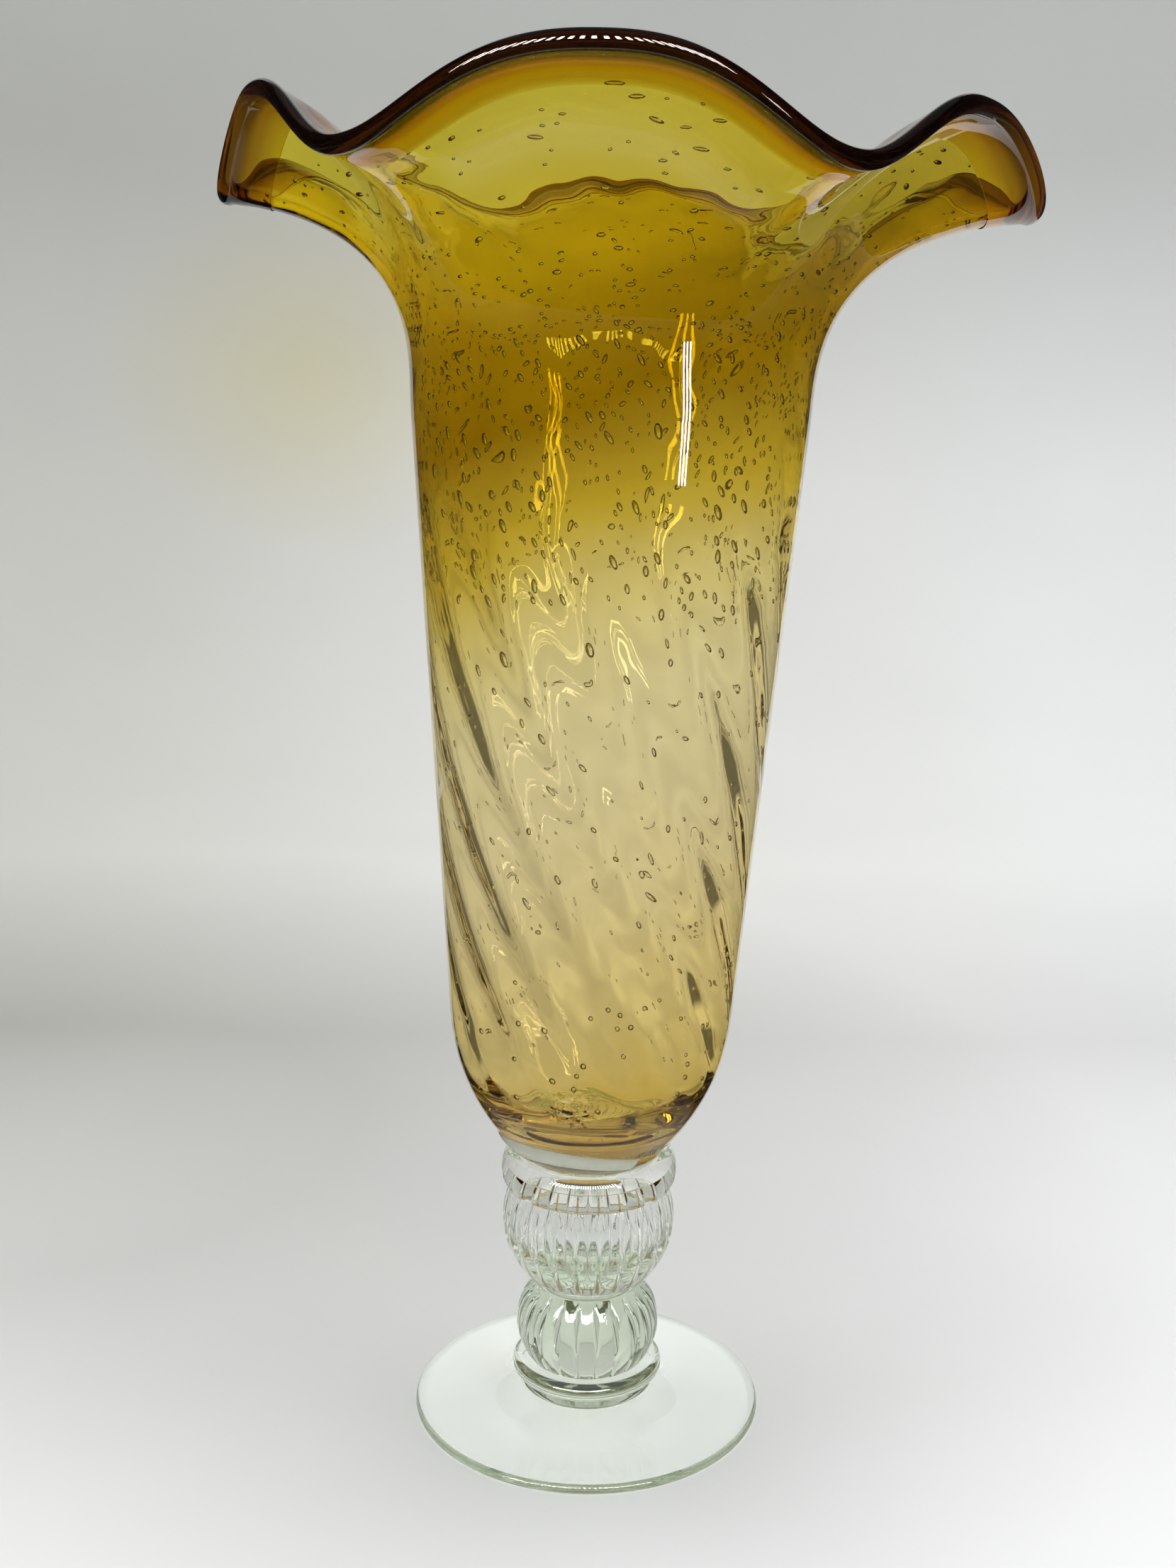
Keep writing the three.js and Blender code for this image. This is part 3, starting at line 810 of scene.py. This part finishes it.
def wall_place(direction, height_or_share, in_flare):
    """The middle of the bowl's wall, with its directions around, up along and across the wall."""
    if in_flare:
        radius, height, out_radius, out_height = (float(v) for v in flare_station(direction, height_or_share))
    else:
        radius, height = float(body_outline(height_or_share)), height_or_share
        out_radius, out_height = 1.0, 0.0
    angle = math.radians(direction)
    outward = np.array([math.sin(angle), -math.cos(angle), 0])
    around = np.array([math.cos(angle), math.sin(angle), 0])
    up = np.array([0, 0, 1.0])
    across = out_radius * outward + out_height * up
    along = -out_height * outward + out_radius * up
    place = radius * outward + height * up - BOWL_WALL / 2 * across
    return place, around, along, across


def scatter_seeds():
    """Stretched balls in the wall that keep clear of each other, as points and faces in the bowl's frame."""
    draw = np.random.default_rng(RANDOM_START)
    balls = {True: icosphere(FINE_BALL), False: icosphere(PLAIN_BALL)}
    centres = np.zeros((0, 3))
    reaches = np.zeros(0)
    points, faces = [], []
    start = 0
    for count, in_flare, places, radii, stretches, slope in SEED_ZONES:
        for _ in range(count):
            direction = draw.uniform(0, 360)
            place = draw.uniform(*places)
            radius = lerp(*radii, draw.random() ** SEED_SIZE_POWER)
            stretch = draw.uniform(*stretches)
            tilt = math.radians(slope + draw.normal(0, SEED_TILT_SPREAD))
            offset = draw.uniform(-SEED_OFFSET, SEED_OFFSET)
            centre, around, along, across = wall_place(direction, place, in_flare)
            centre = centre + offset * across
            reach = radius * stretch
            distance = np.linalg.norm(centres - centre, axis=1)
            if np.any(distance < SEED_SPACING * (reaches + reach)):
                continue
            long_axis = math.cos(tilt) * around + math.sin(tilt) * along
            short_axis = -math.sin(tilt) * around + math.cos(tilt) * along
            ball_points, ball_faces = balls[radius > FINE_SEED_RADIUS]
            depth = min(radius, SEED_DEPTH_LIMIT)
            axes = np.array([long_axis * reach, short_axis * radius, across * depth])
            points.append(centre + ball_points @ axes)
            faces.append(ball_faces + start)
            start += len(ball_points)
            centres = np.vstack([centres, centre])
            reaches = np.append(reaches, reach)
    return np.vstack(points), np.vstack(faces)


def make_bowl(materials):
    body_outer, body_inner = body_rings()
    flare_outer, flare_inner = flare_rings()
    outside = np.concatenate([body_outer, flare_outer])
    inside = np.concatenate([body_inner, flare_inner])[::-1]
    direction = bowl_directions(SEAT_HEIGHT)
    bottom = np.array([polar(radius, direction, height) for radius, height in seat_rings(direction)])
    rings = leaning(np.concatenate([bottom, outside, inside]))
    edge_band = len(bottom) + len(outside) - 1
    points, faces, fused = skin(rings, edge_band, (True, False))
    fused[: len(bottom) * COLUMNS] = film_marks(direction).ravel()
    seed_points, seed_faces = scatter_seeds()
    seed_points = leaning(seed_points)
    seed_faces = seed_faces[:, ::-1] + len(points)
    all_points = np.vstack([points, seed_points])
    all_faces = faces + seed_faces.tolist()
    all_fused = np.concatenate([fused, np.zeros(len(seed_faces))])
    indices = np.repeat([0, 1], [len(faces), len(seed_faces)])
    piece = make_piece("bowl", all_points, all_faces, all_fused, materials, indices, "amber_glass")
    cased = np.zeros(len(all_faces))
    cased[: edge_band * COLUMNS] = 1
    seat_faces = (len(rings) - 1) * COLUMNS
    cased[seat_faces : seat_faces + COLUMNS] = 1
    mark_mesh(piece, "cased", cased)
    return piece


# Lip wrap


def wrap_section():
    """The section from the bowl's edge under the lip, round the bead and back over the lip. Each point is a
    share of the way to the bead's centre, and its distances along and across there."""
    half = WRAP_THICKNESS / 2
    neck = np.linspace(0, BEAD_NECK_SHARE, WRAP_ROWS)
    bead = arc(0, 0, BEAD_RADIUS, BEAD_RADIUS, -BEAD_OPENING, BEAD_OPENING, BEAD_ROWS)
    under = [(share, JOINT_GAP if share == 0 else 0, -half) for share in neck]
    over = [(share, JOINT_GAP if share == 0 else 0, half) for share in neck[::-1]]
    return under + [(1, along, across) for along, across in bead] + over


def make_lip_wrap(materials):
    section = wrap_section()
    direction = bowl_directions(NECK_HEIGHT, COLUMNS * 2)
    rings = []
    for part, along, across in section:
        share = lerp(wrap_start(), 1, part)
        rings.append(flare_points(direction, share, BOWL_WALL / 2 + across, along))
    closed = skin(leaning(np.array(rings)), len(section) - 1, meets_itself=True)
    piece = make_piece("lip_wrap", *closed, materials, slot="lip_glass")
    bead_reach = [min(1, part + max(0, along) / BEAD_RADIUS) for part, along, _ in section]
    mark_mesh(piece, "reach", np.repeat(bead_reach, len(direction)), "POINT")
    # Painted shade, full at the front of the lip and gone towards the sides
    from_front = np.abs(np.mod(direction + 180, 360) - 180)
    painted_front_shade = 1 - smoothstep(from_front, *LIP_PAINTED_SHADE_REACH)
    mark_mesh(piece, "shade", np.tile(painted_front_shade, len(section)), "POINT")
    return piece


# Bowl pad


def pad_side(direction, up):
    """Points of the pad's side, from its upright shoulder at up 0 to the leaning seat at up 1."""
    shoulder = COLLAR_TOP + PAD_SHOULDER_LIFT - BOWL_BASE
    edge = seat_edge_height(direction) - JOINT_GAP
    height = lerp(shoulder, edge, up)
    crescent = (edge - shoulder) / (SEAT_HEIGHT + CRESCENT_LIFT)
    radius = lerp(body_outline(shoulder), body_outline(edge), up) + PAD_BULGE * crescent * 4 * up * (1 - up)
    upright = polar(radius, direction, BOWL_BASE + height)
    return lerp(upright, leaning(polar(radius, direction, height)), up)


def make_pad(materials):
    direction = bowl_directions(SEAT_HEIGHT)
    plug_radius = COLLAR_BORE_RADIUS - PAD_FIT
    mouth_radius = math.sqrt(UPPER_KNOP_INSIDE**2 - (UPPER_KNOP_TOP - UPPER_KNOP_MIDDLE) ** 2)
    rim_radius = UPPER_KNOP_RADIUS * math.cos(math.radians(UPPER_KNOP_CUTS[1]))
    base = UPPER_KNOP_TOP + JOINT_GAP
    shoulder = COLLAR_TOP + PAD_SHOULDER_LIFT
    levels = [(mouth_radius, base), (rim_radius, base), (plug_radius, base), (plug_radius, shoulder)]
    rings = [polar(radius, direction, height) for radius, height in levels]
    rings += [pad_side(direction, up) for up in np.linspace(0, 1, PAD_ROWS)]
    first = (len(rings) - 1) * COLUMNS
    for radius, height in seat_rings(direction)[::-1]:
        rings.append(leaning(polar(radius, direction, height - JOINT_GAP)))
    points, faces, fused = skin(np.array(rings), 0, (False, True))
    on_seat = film_marks(direction)[::-1].ravel()
    fused[first : first + len(on_seat)] = on_seat
    filmed = np.zeros(len(faces))
    filmed[first : first + len(on_seat)] = 1 - on_seat
    return make_piece("bowl_pad", points, faces, fused, materials, filmed)


# Materials


def new_material(name):
    """A material, its nodes, the place on the object in metres, and that place split into X, Y and Z."""
    material = bpy.data.materials.new(name)
    material.use_nodes = True
    tree = material.node_tree
    tree.nodes.clear()
    place = add_node(tree, "TexCoord", {}).outputs["Object"]
    axis = add_node(tree, "SeparateXYZ", {"Vector": place}).outputs
    return material, tree, place, axis


def feed(tree, socket, value):
    """Links a socket to another one, or sets it to a plain value."""
    if isinstance(value, bpy.types.NodeSocket):
        tree.links.new(value, socket)
    elif socket.type == "RGBA":
        socket.default_value = (*value, 1)
    else:
        socket.default_value = value


def add_node(tree, kind, inputs, **settings):
    """A node with its settings and, by name or number, what goes into its sockets."""
    node = tree.nodes.new("ShaderNode" + kind)
    for key, value in settings.items():
        setattr(node, key, value)
    for key, value in inputs.items():
        feed(tree, node.inputs[key], value)
    return node


def mark_on_mesh(tree, name):
    """A number that the mesh carries."""
    return add_node(tree, "Attribute", {}, attribute_name=name).outputs["Fac"]


def mapped(tree, value, low, high, to_low=0, to_high=1):
    """A value moved from one range to another, and kept within it."""
    inputs = {"Value": value, "From Min": low, "From Max": high, "To Min": to_low, "To Max": to_high}
    return add_node(tree, "MapRange", inputs).outputs["Result"]


def noise(tree, place, scale, detail=2.0):
    inputs = {"Vector": place, "Scale": scale, "Detail": detail}
    return add_node(tree, "TexNoise", inputs).outputs["Fac"]


def drifting(tree, place, scale, low, high):
    """A slow random change between low and high."""
    return mapped(tree, noise(tree, place, scale), *NOISE_RANGE, low, high)


def maths(tree, operation, *values):
    """The result of a sum on one or two values, each a socket or a plain number."""
    return add_node(tree, "Math", dict(enumerate(values)), operation=operation).outputs[0]


def distance_to(tree, place, centre):
    return add_node(tree, "VectorMath", {0: place, 1: centre}, operation="DISTANCE").outputs["Value"]


def closeness(tree, place, centre, full_radius, end_radius):
    """1 within full_radius of a centre, falling to 0 at end_radius."""
    return mapped(tree, distance_to(tree, place, centre), full_radius, end_radius, 1, 0)


def ramp(tree, value, stops, interpolation="EASE"):
    """A colour ramp over stops of a position and a colour's three parts."""
    node = add_node(tree, "ValToRGB", {"Fac": value})
    node.color_ramp.interpolation = interpolation
    elements = node.color_ramp.elements
    while len(elements) > 1:
        elements.remove(elements[-1])
    for index, (position, *colour) in enumerate(stops):
        element = elements[0] if index == 0 else elements.new(position)
        element.position = position
        element.color = (*colour, 1)
    return node.outputs["Color"]


def mixed(tree, share, first, second, blend="MIX"):
    """Two colours mixed by a share. Each may be a socket or a plain colour."""
    inputs = {0: share, 6: first, 7: second}
    return add_node(tree, "Mix", inputs, data_type="RGBA", blend_type=blend).outputs[2]


def finish_material(tree, shader, inputs, absorption=None):
    """Puts a shader on the surface, and an absorption in the volume if there is one."""
    ends = {"Surface": add_node(tree, shader, inputs).outputs[0]}
    if absorption is not None:
        colour, density = absorption
        volume = add_node(tree, "VolumeAbsorption", {"Color": colour, "Density": density})
        ends["Volume"] = volume.outputs["Volume"]
    add_node(tree, "OutputMaterial", ends)


def glass(tree, tint, wave, absorption=None, wave_height=WAVE_HEIGHT):
    """Clear refracting glass of the given tint. Fused faces don't refract. wave is a bump height or None."""
    index = mapped(tree, mark_on_mesh(tree, "fused"), 0, 1, GLASS_IOR, FUSED_IOR)
    inputs = {"Roughness": 0, "Transmission Weight": 1, "Base Color": tint, "IOR": index}
    if wave is not None:
        bump = add_node(tree, "Bump", {"Strength": 1, "Distance": wave_height, "Height": wave})
        inputs["Normal"] = bump.outputs["Normal"]
    finish_material(tree, "BsdfPrincipled", inputs, absorption)


def matt(tree, tone, roughness):
    """A surface without gloss."""
    inputs = {"Roughness": roughness, "Specular IOR Level": 0, "Base Color": tone}
    finish_material(tree, "BsdfPrincipled", inputs)


def clear_glass(name, absorption):
    """Glass with hardly a colour, a little greener in streaks."""
    material, tree, place, _ = new_material(name)
    tint = mixed(tree, noise(tree, place, STREAK_SCALE), CLEAR_TINT, WHITE)
    glass(tree, tint, noise(tree, place, WAVE_SCALE, detail=1), absorption)
    return material


def speck_share(tree, place):
    """1 on the dark speck low in the bowl, with a ragged edge."""
    ragged = mapped(tree, noise(tree, place, SPECK_SCALE, detail=4), *SPECK_NOISE)
    return maths(tree, "MULTIPLY", closeness(tree, place, SPECK_PLACE, *SPECK_RADII), ragged)


def crackle_height(tree, place):
    """The bump of the crackled patch at the bowl's floor."""
    inputs = {"Vector": place, "Scale": CRACKLE_SCALE}
    crackle = add_node(tree, "TexVoronoi", inputs, feature="DISTANCE_TO_EDGE")
    facets = mapped(tree, crackle.outputs["Distance"], 0, CRACKLE_EDGE, 0, CRACKLE_HEIGHT)
    return maths(tree, "MULTIPLY", facets, closeness(tree, place, CRACKLE_PLACE, *CRACKLE_RADII))


def amber_glass():
    """Amber glass with a deeper amber casing outside, which is darkest at the neck and slants up to the
    right. The inner face is wavy."""
    material, tree, place, axis = new_material("amber_glass")
    height = mapped(tree, axis["Z"], AMBER_FROM, AMBER_TO)
    drift = drifting(tree, place, AMBER_DRIFT_SCALE, -AMBER_DRIFT, AMBER_DRIFT)
    slant = mapped(tree, axis["X"], -1, 1, AMBER_SLANT, -AMBER_SLANT)
    shifted = maths(tree, "ADD", maths(tree, "ADD", height, drift), slant)
    casing = ramp(tree, shifted, [(at, *(part**2 for part in wall)) for at, *wall in AMBER_WALL], "LINEAR")
    cased = mark_on_mesh(tree, "cased")
    tint = mixed(tree, speck_share(tree, place), mixed(tree, cased, WHITE, casing), SPECK_TINT)
    inside = mapped(tree, cased, 0, 1, 1, 0)
    wave = maths(tree, "MULTIPLY", noise(tree, place, WAVE_SCALE, detail=1), inside)
    wave = maths(tree, "ADD", wave, crackle_height(tree, place))
    glass(tree, tint, wave, AMBER_ABSORPTION, INNER_WAVE_HEIGHT)
    return material


def lip_glass():
    """The dark amber of the lip wrap, with painted shade darkening it at the front."""
    material, tree, place, _ = new_material("lip_glass")
    drift = drifting(tree, place, LIP_DRIFT_SCALE, -LIP_DRIFT, LIP_DRIFT)
    shifted = maths(tree, "ADD", mark_on_mesh(tree, "reach"), drift)
    light = ramp(tree, shifted, LIP_LIGHT)
    dark = ramp(tree, shifted, LIP_PAINTED_SHADE_FRONT)
    # The front of the lip takes the painted shade
    glass(tree, mixed(tree, mark_on_mesh(tree, "shade"), light, dark), None, LIP_ABSORPTION)
    return material


def seed_air():
    """The walls of the air bubbles: the same glass without a tint or an absorption of its own."""
    material, tree, place, _ = new_material("seed_air")
    glass(tree, mixed(tree, noise(tree, place, SEED_AIR_SCALE), SEED_AIR_TINT, WHITE), None)
    return material


def film_white_and_painted_shine():
    """Fine bubbles caught between the bowl and its pad, a matt white that also stands in for the silvery
    shine of
    the film of air there: partly a painted reflection.
    """
    material, tree, place, _ = new_material("film_white_and_painted_shine")
    matt(tree, mixed(tree, noise(tree, place, FILM_SCALE), *FILM_WHITE_AND_SHINE_TONES), FILM_ROUGHNESS)
    return material


# Studio


def cove_paper():
    """Pale paper with painted light and shade: darker to the left and upwards, dim at the sides and behind
    the camera. Under the foot it is a little lighter, painted light for the light that the foot's own faces
    turn away."""
    material, tree, place, axis = new_material("cove_paper")
    # Painted light and shade: a falloff to the left and upwards, bright near the vase, dim behind and beside
    tone = ramp(tree, mapped(tree, axis["X"], *PAPER_ACROSS), PAPER_PAINTED_FALLOFF_TONES)
    tone = mixed(tree, mapped(tree, axis["Z"], *PAPER_UP), tone, PAPER_UP_PAINTED_SHADE)
    tone = mixed(tree, mapped(tree, axis["Y"], *PAPER_NEAR), tone, PAPER_NEAR_PAINTED_LIGHT)
    # Painted shadows of the vase and a painted warm glow
    for middle, radii, factor in PAPER_PAINTED_SHADOWS_AND_GLOW:
        patch = mixed(tree, closeness(tree, place, middle, *radii), WHITE, factor)
        tone = mixed(tree, 1.0, tone, patch, blend="MULTIPLY")
    widening = maths(tree, "MULTIPLY", axis["Y"], SWEEP_WIDENING)
    widening = maths(tree, "ADD", widening, maths(tree, "MULTIPLY", axis["Z"], SWEEP_OPENING))
    beside = maths(tree, "SUBTRACT", maths(tree, "ABSOLUTE", axis["X"]), widening)
    tone = mixed(tree, mapped(tree, beside, SWEEP_HALF_WIDTH, SWEEP_FADED), tone, PAPER_SIDE_PAINTED_SHADE)
    tone = mixed(tree, mapped(tree, axis["Y"], *PAPER_BEHIND), tone, PAPER_BEHIND_PAINTED_SHADE)
    # Painted light on the paper under the foot
    foot_radius = FOOT_RADIUS * MM
    painted_light_under_foot = closeness(tree, place, (0, 0, 0), foot_radius * UNDER_FOOT_FADE, foot_radius)
    tone = mixed(tree, painted_light_under_foot, tone, UNDER_FOOT_PAINTED_LIGHT)
    grain = drifting(tree, place, GRAIN_SCALE, *GRAIN_TONES)
    matt(tree, mixed(tree, 1.0, tone, grain, blend="MULTIPLY"), PAPER_ROUGHNESS)
    return material


def make_cove():
    """A round floor that curves up into a wall all round, open at the top."""
    floor = -COVE_DROP
    fillet = arc(COVE_FLOOR_RADIUS, floor + COVE_FILLET, COVE_FILLET, COVE_FILLET, -90, 0, FILLET_ROWS)
    wall = (COVE_FLOOR_RADIUS + COVE_FILLET, COVE_HEIGHT)
    outline = [*((radius, floor) for radius in COVE_FLAT_RADII), *fillet, wall]
    rings = turned(outline, COVE_COLUMNS)
    points = rings.reshape(-1, 3)
    faces = [face[::-1] for face in ring_faces(len(outline), COVE_COLUMNS, False)]
    faces.append(list(range(COVE_COLUMNS)))
    cove = new_object("cove", new_mesh("cove", points, faces, [cove_paper()]))


def hide_from(thing, *rays):
    """Keeps a lamp, screen or piece out of these kinds of ray."""
    for ray in rays:
        setattr(thing, "visible_" + ray, False)


def add_area_light(name, place, target, width, height, watts):
    light = bpy.data.lights.new(name, "AREA")
    light.shape = "RECTANGLE"
    light.size = width
    light.size_y = height
    light.energy = watts
    lamp = new_object(name, light)
    lamp.location = place
    lamp.rotation_euler = (Vector(target) - Vector(place)).to_track_quat("-Z", "Y").to_euler()
    hide_from(lamp, "camera")
    return lamp


def reflected_only(name, points, faces, material):
    """A stage surface that only reflections see."""
    screen = new_object(name, new_mesh(name, points, faces, [material]))
    hide_from(screen, "camera", "diffuse", "transmission", "shadow")


def glow(name, measure, stops, low, high):
    """A light whose brightness follows the height or the distance from the middle, through stops of
    (share, brightness)."""
    material, tree, place, axis = new_material(name)
    value = axis["Z"] if measure == "height" else distance_to(tree, place, (0, 0, 0))
    share = mapped(tree, value, low, high)
    colour = ramp(tree, share, [(at, level, level, level) for at, level in stops])
    finish_material(tree, "Emission", {"Color": colour})
    return material


def band_between(low, high):
    """Points and faces of a band between two rows of points."""
    columns = len(low) - 1
    faces = [[column, column + 1, columns + 2 + column, columns + 1 + column] for column in range(columns)]
    return np.vstack([low, high]), faces


def add_dark_screen():
    """A dark curtain and a dark floor round the front and sides, which keep haze off the glass."""
    direction = np.linspace(-SCREEN_REACH, SCREEN_REACH, SCREEN_POINTS)
    near = polar(DARK_FLOOR_START, direction, SCREEN_LOW)
    low = polar(SCREEN_RADIUS, direction, SCREEN_LOW)
    high = polar(SCREEN_RADIUS, direction, SCREEN_HIGH)
    curtain = glow("curtain", "height", SCREEN_GLOW, SCREEN_LOW, SCREEN_FADED)
    reflected_only("dark_screen", *band_between(low, high), curtain)
    floor = glow("dark_floor", "distance", DARK_FLOOR_GLOW, DARK_FLOOR_START, DARK_FLOOR_FADED)
    reflected_only("dark_floor", *band_between(near, low), floor)


def add_lamp_row():
    """A long row of small lamps in front, which the bead of the lip mirrors as a dotted line."""
    direction = np.linspace(*ROW_DIRECTIONS, SCREEN_POINTS)
    middle = np.linspace(*ROW_HEIGHTS, SCREEN_POINTS)
    low = polar(ROW_DISTANCE, direction, middle - ROW_WIDTH / 2)
    high = polar(ROW_DISTANCE, direction, middle + ROW_WIDTH / 2)
    material, tree, _, axis = new_material("lamps")
    from_lamp = maths(tree, "PINGPONG", axis["X"], ROW_PITCH / 2)
    lit, faded = (ROW_PITCH * share for share in ROW_LIT)
    strength = mapped(tree, from_lamp, lit, faded, ROW_BRIGHTNESS, 0)
    finish_material(tree, "Emission", {"Strength": strength})
    reflected_only("lamp_row", *band_between(low, high), material)


def lamp_watts(brightness, width, height):
    """The power that gives a flat lamp this brightness."""
    return math.pi * brightness * width * height


def add_strips(strips, in_glass):
    """Three thin upright lamps at the front right. They show in the glass, or else only on its outside."""
    direction, low, high, spacing, width, brightness = strips
    middle = (low + high) / 2
    watts = lamp_watts(brightness, width, high - low)
    for step in (-1, 0, 1):
        place = polar(STRIP_DISTANCE, direction + step * spacing, middle)
        strip = add_area_light("strip", place, (0, 0, middle), width, high - low, watts)
        hide_from(strip, "diffuse", "glossy" if in_glass else "transmission")


def add_glint_lamp():
    """A lamp that only reflections see."""
    place, target, width, height, brightness = GLINT_LAMP
    watts = lamp_watts(brightness, width, height)
    lamp = add_area_light("glint_lamp", place, target, width, height, watts)
    hide_from(lamp, "diffuse", "transmission")


def light_studio():
    for softbox in SOFTBOXES:
        lamp = add_area_light(*softbox)
        hide_from(lamp, "glossy", "transmission")
    add_dark_screen()
    add_lamp_row()
    add_glint_lamp()
    add_strips(OUTER_STRIPS, in_glass=False)
    add_strips(INNER_STRIPS, in_glass=True)
    world = bpy.data.worlds.new("studio_world")
    bpy.context.scene.world = world
    world.use_nodes = True
    inputs = world.node_tree.nodes["Background"].inputs
    inputs["Color"].default_value = (*WORLD_COLOUR, 1)
    inputs["Strength"].default_value = WORLD_BRIGHTNESS


def make_camera():
    data = bpy.data.cameras.new("camera")
    data.lens = CAMERA_LENS
    data.sensor_width = CAMERA_SENSOR
    camera = new_object("camera", data)
    yaw = Matrix.Rotation(math.radians(CAMERA_YAW), 4, "Z")
    pitch = Matrix.Rotation(math.radians(90 - CAMERA_PITCH), 4, "X")
    roll = Matrix.Rotation(math.radians(CAMERA_ROLL), 4, "Z")
    camera.matrix_world = Matrix.Translation(CAMERA_PLACE) @ yaw @ pitch @ roll
    bpy.context.scene.camera = camera


def set_light_paths():
    """Glass needs many bounces, and plain colours need the Standard view."""
    cycles = bpy.context.scene.cycles
    cycles.max_bounces = 40
    cycles.transmission_bounces = 40
    cycles.glossy_bounces = 24
    cycles.diffuse_bounces = 3
    cycles.blur_glossy = 0
    bpy.context.scene.view_settings.view_transform = "Standard"


def dress_vase():
    """The nine pieces. The clear ones throw no shadow, as their plain shadow would be far too dark."""
    clear = clear_glass("clear_glass", CLEAR_ABSORPTION)
    greenish = clear_glass("greenish_glass", GREENISH_ABSORPTION)
    pieces = [make([clear]) for make in (make_foot, make_foot_ring, make_wafer, make_upper_knop, make_collar)]
    pieces += [make_lower_knop([greenish]), make_pad([clear, film_white_and_painted_shine()])]
    for piece in pieces:
        hide_from(piece, "shadow")
    make_bowl([amber_glass(), seed_air()])
    make_lip_wrap([lip_glass()])


dress_vase()
make_cove()
light_studio()
make_camera()
set_light_paths()
